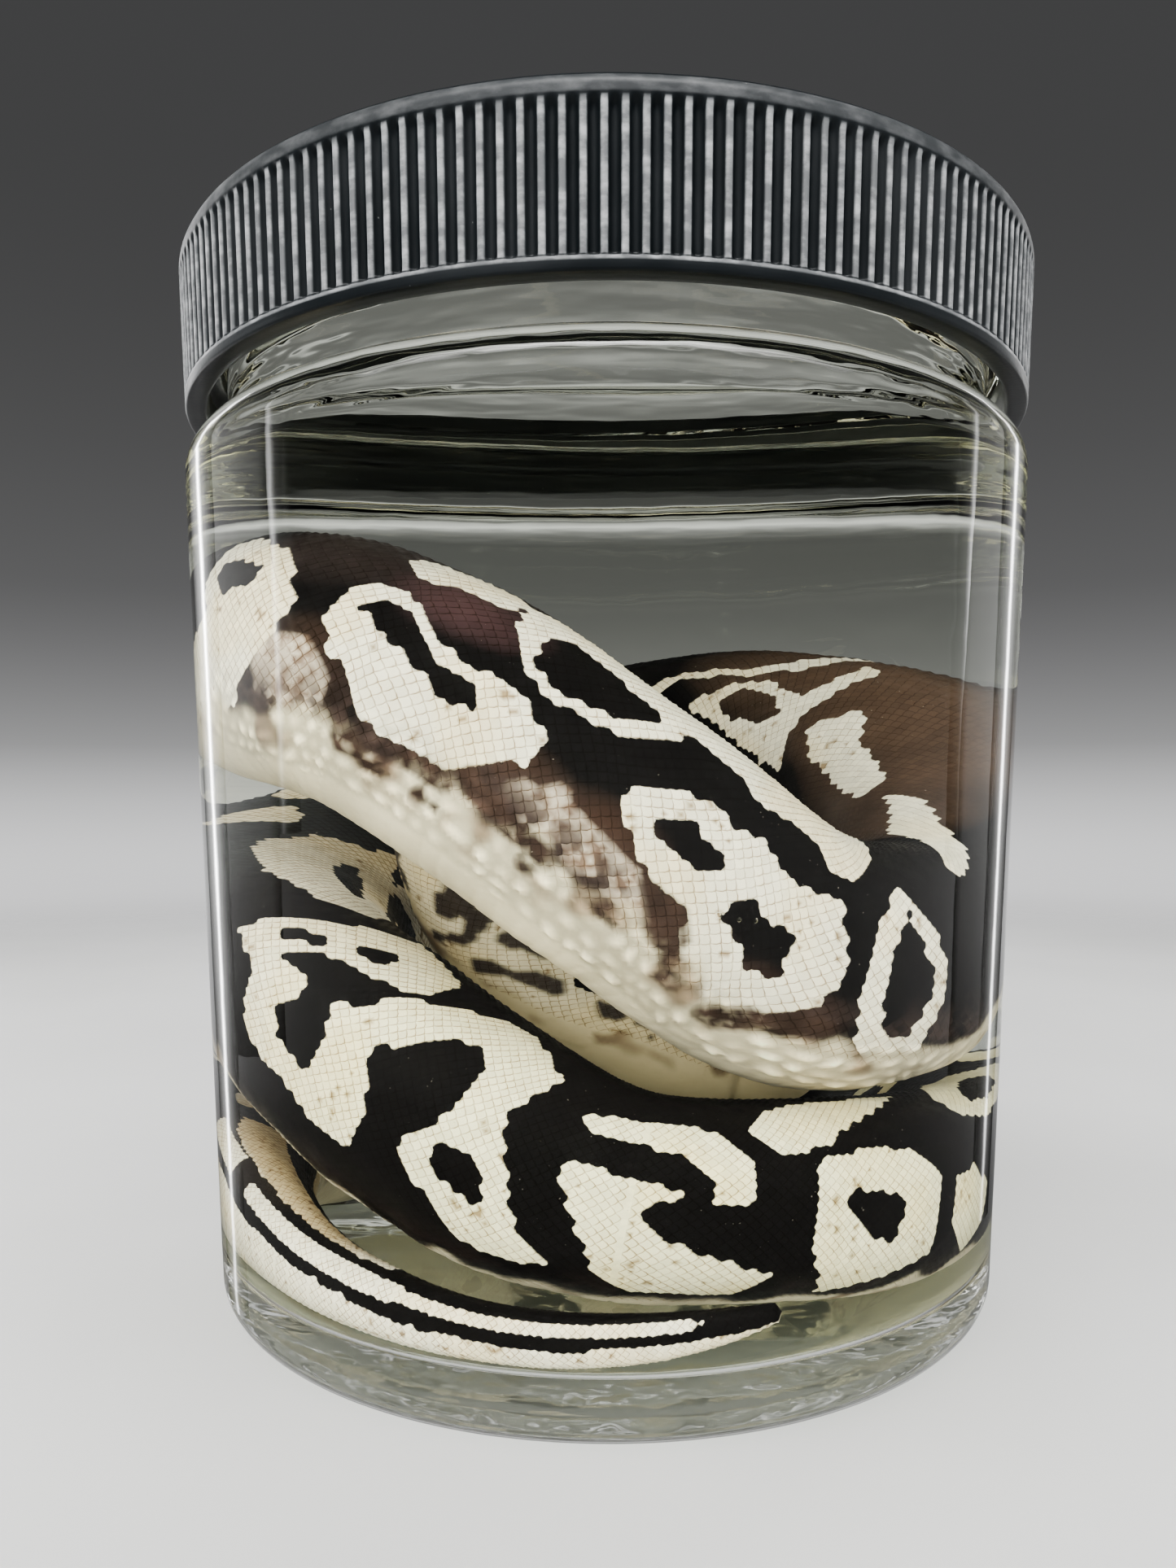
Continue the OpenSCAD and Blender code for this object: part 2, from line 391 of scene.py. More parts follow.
def floor_material():
    m = Mat("floor")
    vec = m.coords()
    f = m.noise(vec, 14, 5)
    col = m.mix(m.remap(f, 0.3, 0.7, 0, 1), (0.47, 0.47, 0.465), (0.52, 0.52, 0.515))
    p = m.principled(Base_Color=col, Roughness=0.6)
    far = m.node("ShaderNodeVectorMath", _operation="LENGTH")
    m.link(vec, far.inputs[0])
    t = m.node("ShaderNodeBsdfTransparent")
    mix = m.node("ShaderNodeMixShader")
    fade = m.node("ShaderNodeMapRange", _interpolation_type="SMOOTHERSTEP")
    for i, v in enumerate((0.16, 0.52, 0.0, 1.0)):
        fade.inputs[i + 1].default_value = v
    m.link(far.outputs["Value"], fade.inputs[0])
    m.link(fade.outputs[0], mix.inputs[0])
    m.link(p.outputs[0], mix.inputs[1])
    m.link(t.outputs[0], mix.inputs[2])
    return m.surface(mix.outputs[0])


# a pale floor that fades into the light behind it
bpy.ops.mesh.primitive_circle_add(vertices=96, radius=1.2, fill_type="NGON", location=(0, 0, -0.0001))
floor = bpy.context.object
floor.name = "floor"
floor.data.materials.append(floor_material())
floor.visible_glossy = False
floor.visible_transmission = False

world = bpy.data.worlds.new("world")
bpy.context.scene.world = world
world.use_nodes = True
wn = world.node_tree
wn.nodes.clear()
wo = wn.nodes.new("ShaderNodeOutputWorld")
bg = wn.nodes.new("ShaderNodeBackground")
tc = wn.nodes.new("ShaderNodeTexCoord")
sep = wn.nodes.new("ShaderNodeSeparateXYZ")
rp = wn.nodes.new("ShaderNodeValToRGB")
wn.links.new(tc.outputs["Generated"], sep.inputs[0])
mr = wn.nodes.new("ShaderNodeMapRange")
mr.inputs[1].default_value, mr.inputs[2].default_value = -1.0, 1.0
wn.links.new(sep.outputs["Z"], mr.inputs[0])
wn.links.new(mr.outputs[0], rp.inputs["Fac"])
e = rp.color_ramp.elements
e[0].position, e[0].color = 0.0, (0.85, 0.86, 0.80, 1)
e[1].position, e[1].color = 1.0, (0.085, 0.087, 0.09, 1)
for pos, c in ((0.20, 0.62), (0.27, 0.40), (0.315, 0.15), (0.355, 0.17), (0.39, 0.52), (0.43, 0.64), (0.465, 0.84), (0.49, 0.72), (0.52, 0.26), (0.58, 0.11), (0.72, 0.06)):
    q = e.new(pos)
    q.color = (c, c, c * 1.01, 1)
rp.color_ramp.interpolation = "B_SPLINE"
back = wn.nodes.new("ShaderNodeMapRange")
back.inputs[1].default_value, back.inputs[2].default_value = -0.5, 0.5
back.inputs[3].default_value, back.inputs[4].default_value = 0.30, 1.0
wn.links.new(sep.outputs["Y"], back.inputs[0])
wn.links.new(rp.outputs["Color"], bg.inputs["Color"])
wn.links.new(back.outputs[0], bg.inputs["Strength"])
wn.links.new(bg.outputs[0], wo.inputs["Surface"])

for spec in (("top", (-0.04, -0.16, 0.52), (0, 0, 0.03), 0.50, 0.40, 3.4),
             ("front", (-0.10, -0.62, 0.22), (0, 0, 0.045), 0.60, 0.40, 7.4),
             ("side_left", (-0.50, -0.12, 0.22), (0, 0, 0.04), 0.40, 0.40, 3.0),
             ("side_right", (0.50, -0.16, 0.22), (0, 0, 0.04), 0.40, 0.40, 3.0),
             ("top_back", (0.05, 0.30, 0.40), (0, 0, 0.06), 0.40, 0.12, 1.6)):
    lamp = area(*spec)
    lamp.visible_camera = False
    lamp.visible_glossy = False
    lamp.visible_transmission = False


def softbox(name, loc, target, sx, sy, strength, core, flat=False):
    """A glowing panel, brightest down its middle, for the lines down the glass."""
    m = Mat(name)
    sep = m.node("ShaderNodeSeparateXYZ")
    tc_ = m.node("ShaderNodeTexCoord")
    m.link(tc_.outputs["Generated"], sep.inputs[0])
    across = m.ramp(sep.outputs["X"], [(0.0, (0, 0, 0)), (0.5 - 2.4 * core, (0.05, 0.05, 0.05)), (0.5 - core, (0.22, 0.22, 0.22)), (0.5, (1, 1, 1)),
                                       (0.5 + core, (0.22, 0.22, 0.22)), (0.5 + 2.4 * core, (0.05, 0.05, 0.05)), (1.0, (0, 0, 0))])
    if flat:
        across = m.ramp(sep.outputs["X"], [(0.0, (0, 0, 0)), (0.1, (1, 1, 1)), (0.9, (1, 1, 1)), (1.0, (0, 0, 0))])
    along = m.ramp(sep.outputs["Y"], [(0.0, (0, 0, 0)), (0.3, (0.8, 0.8, 0.8)), (0.5, (1, 1, 1)), (0.75, (0.7, 0.7, 0.7)), (1.0, (0, 0, 0))])
    for n in m.nt.nodes:
        if n.bl_idname == "ShaderNodeValToRGB":
            n.color_ramp.interpolation = "B_SPLINE"
    e_ = m.node("ShaderNodeEmission")
    m.link(m.mix(1.0, across, along, "MULTIPLY"), e_.inputs["Color"])
    e_.inputs["Strength"].default_value = strength
    mat = m.surface(e_.outputs[0])
    bpy.ops.mesh.primitive_plane_add(size=1, location=loc)
    o = bpy.context.object
    o.name = name
    o.rotation_euler = (Vector(loc) - Vector(target)).to_track_quat("Z", "Y").to_euler()
    o.scale = (sx, sy, 1)
    o.data.materials.append(mat)
    o.visible_camera = False
    o.visible_shadow = False
    o.visible_diffuse = False
    return o


softbox("strip_left", (-0.232, 0.179, 0.09), (0, 0, 0.045), 0.12, 0.48, 30.0, 0.05)
softbox("haze_left", (-0.282, 0.117, 0.11), (0, 0, 0.045), 0.27, 0.32, 1.1, 0.2, True)
softbox("haze_right", (0.285, 0.15, 0.10), (0, 0, 0.045), 0.20, 0.34, 0.9, 0.2, True)
softbox("line_left", (-0.33, -0.012, 0.12), (0, 0, 0.045), 0.08, 0.18, 9.0, 0.07)
softbox("line_right", (0.323, 0.069, 0.12), (0, 0, 0.045), 0.08, 0.20, 7.0, 0.07)
softbox("strip_right", (0.228, 0.182, 0.10), (0, 0, 0.045), 0.11, 0.42, 18.0, 0.05)
softbox("strip_over", (0.0, -0.20, 0.36), (0, 0, 0.075), 0.9, 0.09, 22.0, 0.2)

cy = bpy.context.scene.cycles
bpy.context.scene.view_settings.look = "AgX - Medium High Contrast"
cy.max_bounces = 28
cy.transmission_bounces = 24
cy.transparent_max_bounces = 32
cy.glossy_bounces = 8
cy.diffuse_bounces = 3
cy.caustics_reflective = False
cy.caustics_refractive = False
cy.sample_clamp_indirect = 6.0


# ------------------------------------------------------------------- glass jar
def jar_profile():
    sr, hr, fr = 3.4, 2.6, 3.0
    p = [(0, 0.7)] + line((2, 0.69), (20, 0.6), 6) + line((20, 0.6), (27, 0.2), 5) + [(27.5, 0.06), (28, 0)]
    p += line((28, 0), (JR - hr, 0), 3) + arc(JR - hr, hr, hr, -90, 0, 14)
    p += line((JR, hr), (JR, NECK - sr), 48) + arc(JR - sr, NECK - sr, sr, 0, 84, 14)
    p += [(NR + 0.12, NECK + 0.04), (NR + 0.03, NECK + 0.12), (NR, NECK + 0.25)]
    p += line((NR, NECK + 0.25), (NR, RIM - 0.9), 110) + arc(NR - 0.9, RIM - 0.9, 0.9, 0, 90, 8)
    p += arc(NB + 0.5, RIM - 0.5, 0.5, 90, 180, 6)
    outer_rows = len(clean(p))
    p += line((NB, RIM - 0.5), (NB, LEVEL_TOP), 6)
    dry_rows = len(clean(p))
    p += line((NB, LEVEL_TOP), (NB, NECK + 1.6), 10) + [(NB + 0.08, NECK + 0.9), (NB + 0.4, NECK + 0.2)]
    p += arc(IR - 3.6, NECK - 4.4, 3.6, 38, 0, 10) + line((IR, NECK - 4.4), (IR, BASE + fr), 48)
    p += arc(IR - fr, BASE + fr, fr, 0, -90, 12) + line((IR - fr, BASE), (2, BASE), 10) + [(0, BASE)]
    return clean(p), dry_rows


prof, dry_rows = jar_profile()


def jar_shift(r, z, a, i):
    out = np.where((i < dry_rows) & (z > 77.5) & (r > 32.5), r + 1.2 * helix(z, a, THREAD_Z, -150, 0, 1.35, 0.65, 1.35), r)
    wall = (z > 5) & (z < 74)
    w = noise(np.c_[r * np.cos(a) / 13 + 3, r * np.sin(a) / 13, z / 26]) - 0.5
    out = out + np.where(wall & (r > 35), 0.035 * w, 0) + np.where(wall & (r < 35) & (r > 33), 0.10 * w, 0)
    return out, z


v, f, rows, pr = revolve(prof, 256, jar_shift)
idx = []
for r in rows:
    wet = r >= dry_rows - 1
    if prof[r][1] > 71.5:
        idx.append(3 if wet else 2)
    else:
        idx.append(1 if wet else 4 if prof[r][0] < 29 and prof[r][1] < 0.8 else 0)
jar = make("jar_glass", v, f, [GLASS_DRY, GLASS_WET, GLASS_DRY_TOP, GLASS_WET_TOP, GLASS_FOOT], idx)
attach(jar, "jar")
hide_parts("glass_jar")


# ----------------------------------------------------------------------- fluid
def fluid_profile():
    g, fr = 0.04, 3.0
    r = IR - g
    p = [(0, BASE + g)] + line((3, BASE + g), (r - fr, BASE + g), 8) + arc(r - fr, BASE + g + fr, fr, -90, 0, 12)
    p += line((r, BASE + g + fr), (r, NECK - 4.4), 20) + arc(r - 3.6, NECK - 4.4, 3.6, 0, 38, 10)
    p += [(NB - g + 0.4, NECK + 0.2), (NB - g + 0.08, NECK + 0.9)]
    p += line((NB - g, NECK + 1.6), (NB - g, LEVEL_TOP), 8)
    n = len(clean(p))
    for k in range(1, 26):
        d = 5.0 * (k / 25) ** 2
        p.append((NB - g - d, FILL + 0.8 * math.exp(-d / 0.9)))
    p += line((NB - g - 5.0, FILL), (2, FILL), 24) + [(0, FILL)]
    return clean(p), n


fp, side_rows = fluid_profile()


def fluid_shift(r, z, a, i):
    top = i >= side_rows
    w = noise(np.c_[r * np.cos(a) / 5.5, r * np.sin(a) / 5.5, z * 0 + 7.3]) - 0.5
    edge = smooth(0, 3, NB - r)
    return r, z + np.where(top, 0.05 * w * edge, 0)


v, f, rows, pr = revolve(fp, 192, fluid_shift)
idx = [1 if r >= side_rows - 1 else 0 for r in rows]
fluid = make("fluid_volume", v, f, [fluid_side(), FLUID_TOP], idx)
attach(fluid, "jar")
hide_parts("preserving_fluid")


# ------------------------------------------------------------------- screw cap
def cap_profile():
    e = 1.0
    p = [(0, TOP - 0.16), (0.35, TOP - 0.15), (0.8, TOP - 0.06), (1.1, TOP)]
    p += line((1.6, TOP), (CR - e, TOP), 14) + arc(CR - e, TOP - e, e, 90, 0, 14)
    p += line((CR, TOP - e), (CR, TOP - 2.6), 16) + line((CR, TOP - 2.6), (CR, FOOT + 1.6), 22) + line((CR, FOOT + 1.6), (CR, FOOT + 0.75), 9)
    p += [(CR, FOOT + 0.5), (CR, FOOT + 0.2), (CR - 0.06, FOOT + 0.06), (CR - 0.2, FOOT)]
    outer = len(clean(p))
    p += line((CR - 0.2, FOOT), (CB + 0.3, FOOT), 3) + [(CB + 0.08, FOOT + 0.08), (CB, FOOT + 0.3)]
    ceil = TOP - PANEL
    p += line((CB, FOOT + 0.3), (CB, ceil - 0.35), 96) + [(CB - 0.1, ceil - 0.1), (CB - 0.35, ceil)]
    p += line((CB - 0.35, ceil), (2, ceil), 8) + [(0, ceil)]
    return clean(p)[::-1], outer


cp, outer_rows = cap_profile()
cap_n = len(cp)
RIBS = 180


def rib_at(a, lo, hi):
    step = 2 * math.pi / RIBS
    return 1 - smooth(lo, hi, np.abs(np.mod(a + step / 2, step) - step / 2) / step)


def cap_shift(r, z, a, i):
    i = cap_n - 1 - i            # rows counted from the top centre
    rib = rib_at(a, 0.14, 0.36)
    # each groove ends in a rounded top below the plain band, and stops above the bead
    gate = smooth(TOP - 1.35, TOP - 2.05, z + 0.35 * rib) * smooth(FOOT + 0.86, FOOT + 1.15, z)
    wobble = 0.03 * (noise(np.c_[np.cos(a) * 9 + 11, np.sin(a) * 9 + 11, z / 4]) - 0.5)
    body = (i < outer_rows) & (z > FOOT + 0.7) & (r > GR - 1.0)
    out = np.where(body, r - 0.46 * (1 - rib) * gate + wobble - 0.015, r)
    z2 = z
    inner = (i > outer_rows) & (z > FOOT + 0.2) & (z < TOP - PANEL - 0.3) & (r > CB - 0.5)
    th = helix(z, a, THREAD_Z - PITCH / 2, -150, 0.33, 1.38, 0.6, 1.25)
    out = np.where(inner, out - 1.2 * th, out)
    return out, z2


v, f, rows, pr = revolve(cp, 1440, cap_shift)
cap = make("cap_shell", v, f, [cap_material()], None, True)
ang = np.arctan2(v[:, 1], v[:, 0])
rad = np.hypot(v[:, 0], v[:, 1])
side_ = (rad > CR - 0.5) & (v[:, 2] < TOP - 0.3)
gate = smooth(TOP - 1.2, TOP - 1.9, v[:, 2]) * smooth(FOOT + 0.86, FOOT + 1.05, v[:, 2])
# where the cap takes its crest colour: rib crests (wear plus painted highlight), a painted highlight band under the top
# edge, a painted highlight line along the bead's top, and the top face a little lighter
crest_wear_highlight_mask = np.where(side_, rib_at(ang, 0.16, 0.28) * gate, 0)
crest_wear_highlight_mask = np.where(side_, np.maximum(crest_wear_highlight_mask, 0.55 * (1 - gate) * (v[:, 2] > TOP - 2.2)), crest_wear_highlight_mask)
crest_wear_highlight_mask = np.where(side_ & (np.abs(v[:, 2] - FOOT - 0.76) < 0.14), 1.0, crest_wear_highlight_mask)
crest_wear_highlight_mask = np.where(v[:, 2] >= TOP - 0.3, 0.10, crest_wear_highlight_mask)
at = cap.data.attributes.new("rib", "FLOAT", "POINT")
at.data.foreach_set("value", crest_wear_highlight_mask.astype(np.float32))
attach(cap, "cap")
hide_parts("screw_cap")

# ----------------------------------------------------------------------- liner
zb = TOP - PANEL - 0.01
LR = 34.0
p = clean([(0, zb - 0.7)] + line((3, zb - 0.7), (LR - 0.15, zb - 0.7), 14) + arc(LR - 0.15, zb - 0.55, 0.15, -90, 0, 4)
          + arc(LR - 0.15, zb - 0.15, 0.15, 0, 90, 4) + line((LR - 0.15, zb), (3, zb), 14) + [(0, zb)])
v, f, rows, pr = revolve(p, 180)
board = make("liner_pulp_board", v, f, [board_material()], None, True, 40)
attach(board, "liner")
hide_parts("liner_board")
zf = zb - 0.71
p = [(0, zf - 0.16)] + line((3, zf - 0.16), (NB - 1.4, zf - 0.16), 10)
p += line((NB - 1.0, zf - 0.16), (NB + 0.2, zf - 0.145), 3) + line((NB + 0.4, zf - 0.13), (NR - 0.3, zf - 0.13), 4) + [(NR, zf - 0.15), (NR + 0.3, zf - 0.16)]
p += [(LR - 0.05, zf - 0.16), (LR, zf - 0.11), (LR, zf - 0.05), (LR - 0.05, zf)] + line((LR - 0.3, zf), (3, zf), 8) + [(0, zf)]
v, f, rows, pr = revolve(clean(p), 180)
film = make("liner_film", v, f, [film_material()], None, True, 40)
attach(film, "liner")
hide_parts("liner_facing")

# ------------------------------------------------------------------- specimen
ROUTE = np.array([
    [14.8, -4, 20.9, 1.6], [12.2, -3.4, 21.8, 4.4], [8.5, -2.8, 23, 5.9], [4.4, -2.5, 24.6, 6.3], [0.4, -2.2, 26.9, 5.9],
    [-3.4, -1.4, 30.3, 6.1], [-6.1, 0, 34.7, 6.4], [-7.7, 1.2, 39.7, 6.7], [-8.8, 3, 45.8, 6.9], [-11.5, 6, 51.5, 7.4],
    [-16.5, 8, 55.8, 8.2], [-21.8, 3.4, 57.4, 9], [-23.4, -1.5, 57.5, 9.4], [-21.6, -9.4, 56.6, 9.8], [-16.9, -16.4, 55, 9.8],
    [-11.7, -20.4, 52, 9.8], [-7.3, -22.3, 49, 9.8], [-2.3, -23.4, 45.1, 9.8], [2.6, -23.4, 41.3, 9.8], [7.5, -22.2, 37.2, 9.8],
    [12, -20.2, 34, 9.8], [17, -16.2, 32.4, 9.8], [21.8, -8.7, 32.9, 9.8], [23.4, 1, 38.2, 9.8], [20.6, 11, 45.8, 9.8],
    [13.5, 19.2, 49.6, 9.8], [3.5, 23.2, 49, 9.8], [-7, 22.4, 44.5, 9.8], [-16.5, 16.7, 37.8, 9.8], [-22.4, 7.2, 33.2, 9.8],
    [-23.4, -2.6, 30.6, 9.8], [-21.3, -10.6, 28.4, 9.6], [-17.6, -16, 25.8, 9.6], [-12, -20.4, 21.9, 9.4], [-6, -23.4, 18.6, 9],
    [0, -24.9, 16.6, 8.1], [6, -24.5, 15.6, 7.8], [12.4, -21.7, 14.8, 7.9], [18.6, -16.7, 13.8, 8], [23.6, -8.6, 13, 8],
    [25.2, 2.5, 12.8, 7.8], [20.6, 15, 12.5, 7.6], [9, 24, 12.2, 7.5], [-5, 25.2, 12, 7.3], [-17.6, 19.4, 11.6, 7.1],
    [-25.4, 7.2, 11.2, 6.7], [-26.3, -5, 10.6, 6], [-24.2, -14.2, 9.4, 4.6], [-20.6, -20.6, 8.2, 3.5], [-15.6, -25.4, 7.4, 2.9],
    [-9.8, -29, 6.9, 2.4], [-3.4, -30.9, 6.8, 2.1], [3, -31.4, 7.2, 1.8], [8.3, -31, 7.9, 1.3], [12.3, -30.2, 8.6, 0.7]])


def spline(pts, n):
    k = len(pts)
    out = []
    for i in range(k - 1):
        a, b, c, d = (pts[max(0, min(k - 1, i + j))] for j in (-1, 0, 1, 2))
        for t in np.arange(n) / n:
            out.append(0.5 * (2 * b + (c - a) * t + (2 * a - 5 * b + 4 * c - d) * t * t + (3 * b - 3 * c + d - a) * t ** 3))
    out.append(pts[-1])
    return np.array(out)


LINE = spline(ROUTE, 24)
PX_, PR_ = LINE[:, :3], LINE[:, 3]
PS = np.r_[0, np.cumsum(np.linalg.norm(np.diff(PX_, axis=0), axis=1))]
PT = np.gradient(PX_, axis=0)
PT /= np.linalg.norm(PT, axis=1)[:, None]
PSIDE = np.cross(PT, [0, 0, 1.0])
PSIDE /= np.linalg.norm(PSIDE, axis=1)[:, None]
PU = np.cross(PSIDE, PT)
LENGTH = PS[-1]


def sample(arr, s):
    return np.stack([np.interp(s, PS, arr[:, k]) for k in range(3)], -1)


def radius(s):
    r = np.interp(s, PS, PR_)
    snout = np.clip(s / 5.0, 0, 1)
    return np.where(s < 5, np.maximum(r, 0) * 0 + 4.75 * np.sqrt(np.clip(1 - (1 - snout) ** 2.3, 0, 1)), r)


OFF = 18.4                                       # where the outlines below count from
ROLL_S = [0, 14, 20, 27, 38, 63, 78, 86, 94, 100, 105, 110, 115, 128, 168, 218, 243, 318, 358, 388, 402, 418, 430, 445]
ROLL_D = [25, 25, 15, -4, -8, -8, -18, -24, -22, -15, -4, 4, 10, 8, 0, 0, 6, 6, 14, 32, 42, 46, 52, 55]


def nat(s):
    """Distance along as the outlines count it, past the neck."""
    return s - np.interp(s, [20, 39], [0, 1.2])


def roll_at(s):
    return np.interp(nat(s), ROLL_S, ROLL_D)


def inside(x, y, poly):
    q = np.array(poly, float)
    out = np.zeros(np.shape(x), bool)
    near = np.where((x >= q[:, 0].min()) & (x <= q[:, 0].max()) & (y >= q[:, 1].min()) & (y <= q[:, 1].max()))[0]
    x, y = x[near], y[near]
    hit = np.zeros(len(near), bool)
    n = len(poly)
    for i in range(n):
        x1, y1 = poly[i]
        x2, y2 = poly[(i + 1) % n]
        cross = (y1 > y) != (y2 > y)
        with np.errstate(divide="ignore", invalid="ignore"):
            t = (x2 - x1) * (y - y1) / (y2 - y1 if y2 != y1 else 1e-9) + x1
        hit ^= cross & (x < t)
    out[near] = hit
    return out


# markings on the side that shows, as outlines of (distance along, degrees round)
CREAM = [
    [(54, 69), (52.5, 42), (52.5, 23), (55, 19), (60, 30), (62, 48), (63, 60), (62, 82), (60, 94), (59, 106), (56, 124), (50, 128), (47, 110), (49, 84)],
    [(65, 52), (65, 41), (66, 35), (68, 36), (70, 44), (71, 52), (73, 57), (75, 55), (77, 58), (79, 66), (79, 80), (77, 91), (75, 98), (73, 98), (71, 99), (70, 94), (68, 84), (66, 73), (65, 61)],
    [(65, 13), (66, 2), (68, -8), (71, -8), (72.5, 8), (71.5, 20), (69, 18), (68, 25), (67, 22)],
    [(73, 24), (72.2, 5), (74, -14), (80, -24), (88, -26), (96, -20), (101, 0), (102, 20), (101, 38), (99, 52), (97, 56), (95, 44), (93, 42), (90, 45), (88, 34), (85, 29), (84, 38), (82, 47), (80, 52), (78, 51), (76, 48), (74, 36)],
    [(84, 76), (84, 65), (86, 59), (88, 58), (89, 62), (91, 60), (94, 71), (96, 68), (98, 64), (99, 79), (100, 97), (99, 113), (98, 124), (97, 133), (95, 135), (94, 136), (92, 128), (91, 112), (90, 102), (88, 98), (86, 90)],
    [(103, 48), (105, 60), (107.5, 85), (107.5, 104), (106.5, 128), (105, 141), (103.5, 135), (102, 120), (101.3, 101), (101.3, 72)],
    [(140.5, -33), (142, -57), (138.5, -63), (134, -56), (129, -41), (130.5, -28), (134.5, -36), (137.5, -40)],
    [(128, -29), (125, -11), (121, 5), (116, 29), (111.6, 46), (109.6, 37), (112, 18), (119, -14)],
    [(156, -65), (153, -48), (150, -43), (145, -46), (144.5, -62), (141.5, -77), (144, -84), (150, -80)],
    [(158, -44), (155.6, -44), (151.4, -40), (149.3, -26), (148, 4), (149.6, 4), (151, -23), (153, -35), (157, -39)],
    [(145.0, -10), (144.0, -38), (144.0, -54), (143.0, -68), (141.0, -79), (142.2, -81), (144.5, -69), (145.6, -54), (145.8, -38), (146.6, -10)],
    [(218, 46), (219, 30), (221, 19), (223, -1), (225, -21), (229, -12), (231, -7), (231, 16), (229, 26), (226, 27), (224, 32), (222, 43), (223, 45), (225, 47), (225, 56), (224, 69), (225, 79), (227, 84), (228, 86), (228, 78), (228, 62), (227, 50), (229, 40), (230, 24), (232, 21), (234, 7), (236, -2), (238, -2), (243, 24), (241, 53), (242, 69), (243, 87), (244, 105), (246, 124), (242, 127), (240, 118), (238, 104), (236, 93), (236, 83), (238, 64), (238, 36), (237, 28), (235, 31), (233, 45), (231, 57), (233, 81), (233, 105), (229, 105), (227, 99), (224, 97), (222, 89), (221, 70), (221, 56)],
    [(245, 39), (248, 30), (252, 34), (254, 41), (255, 56), (255, 78), (253, 78), (253, 65), (251, 52), (249, 47), (246, 49)],
    [(245, 68), (246, 66), (250, 69), (252, 74), (250, 83), (250, 92), (252, 103), (254, 110), (257, 122), (255, 137), (250, 139), (248, 126), (247, 100)],
    [(255, 32), (257, 17), (261, 8), (270, 3), (263, 33), (260, 48), (257, 52)],
    [(259, 80), (259, 62), (260, 54), (264, 51), (267, 57), (269, 73), (269, 96), (269, 122), (261, 143), (259, 108)],
    [(271, 80), (274, 77), (277, 95), (277, 119), (275, 140), (271, 104)],
    [(272, 20), (274, 2), (278, -12), (284, -10), (288, 8), (288, 30), (284, 48), (277, 50), (273, 38)],
    [(196, -55), (200, -62), (210, -56), (218, -40), (221, -20), (219, -2), (212, 6), (203, 0), (198, -20)],
]
DARK = [
    [(54.5, 47), (54.5, 40), (56, 38), (59, 44), (59, 53), (57, 56), (56, 58)],
    [(66, 51), (67, 45), (69, 46), (71, 55), (72, 63), (73, 61), (74.3, 64), (75, 70), (74, 74), (72.5, 73), (71, 67), (70, 62), (68, 58)],
    [(75, 30), (75, 17), (77, 15), (80, 21), (82, 25), (83, 34), (81, 42), (80, 44), (78, 45), (76, 42)],
    [(86, 78), (87, 69), (89, 73), (90.3, 79), (90.3, 85), (88.6, 84), (87, 82)],
    [(92, 98), (91.8, 88), (93, 86), (94.3, 91), (95.6, 87), (96.4, 90), (96.4, 100), (97, 108), (95, 110), (93.8, 105)],
    [(104, 63), (105, 74), (106.3, 88), (106.3, 103), (105.3, 119), (104, 121), (103, 107), (103, 85)],
    [(153.5, -62), (151.5, -51), (148, -51), (146, -58), (148, -68), (151, -70)],
    [(246.9, 17), (249.2, 12), (249.4, 34), (247.4, 32)], [(252, 7), (254.4, 2), (253, 31), (251.4, 30)],
    [(238, 79), (240, 76), (241, 84), (242, 98), (241, 100), (239, 94), (238, 92)],
    [(261, 82), (262, 73), (265, 79), (266, 91), (265, 106), (263, 101)],
    [(276, 30), (277, 14), (281, 6), (284, 16), (283, 32), (279, 38)],
    [(220.0, 32), (220.6, 28), (223.1, 21), (223.7, 25), (221.7, 36)], [(224.6, 19), (225.1, 7), (226.3, 3), (227.1, 14), (226.5, 18)],
    [(203, -40), (208, -44), (214, -34), (215, -26), (209, -28), (204, -32)],
]
# the neck, on the side that shows: dark bars on a dull cream
BARS = [
    [(27.2, -97), (28.1, -111), (29.2, -98), (30.4, -60), (27.8, -60)], [(25.0, -99), (25.9, -104), (27.2, -84), (27.4, -60), (25.8, -58), (25.6, -84)],
    [(24.0, -80), (23.2, -75), (21.3, -67), (20.5, -40), (24.3, -40), (24.9, -66), (24.5, -74)],
    [(24.1, -101), (23.0, -93), (21.9, -91), (21.9, -101), (23.0, -110), (23.5, -114)], [(22.0, -92), (21.4, -82), (19.8, -77), (18.9, -87), (19.6, -93), (20.9, -95)],
    [(16.9, -76), (15.4, -74), (14.3, -82), (15.2, -89), (16.4, -84)], [(13.6, -80), (12.7, -79), (13.0, -87), (13.9, -88)],
    [(12.6, -98), (12.1, -88), (11.7, -90), (12.1, -97)], [(26.3, -101), (27.2, -128), (26.7, -132), (25.6, -104)],
    [(33.8, -92), (32.6, -110), (30.6, -125), (31.8, -128), (34.5, -112), (35.4, -94)],
]
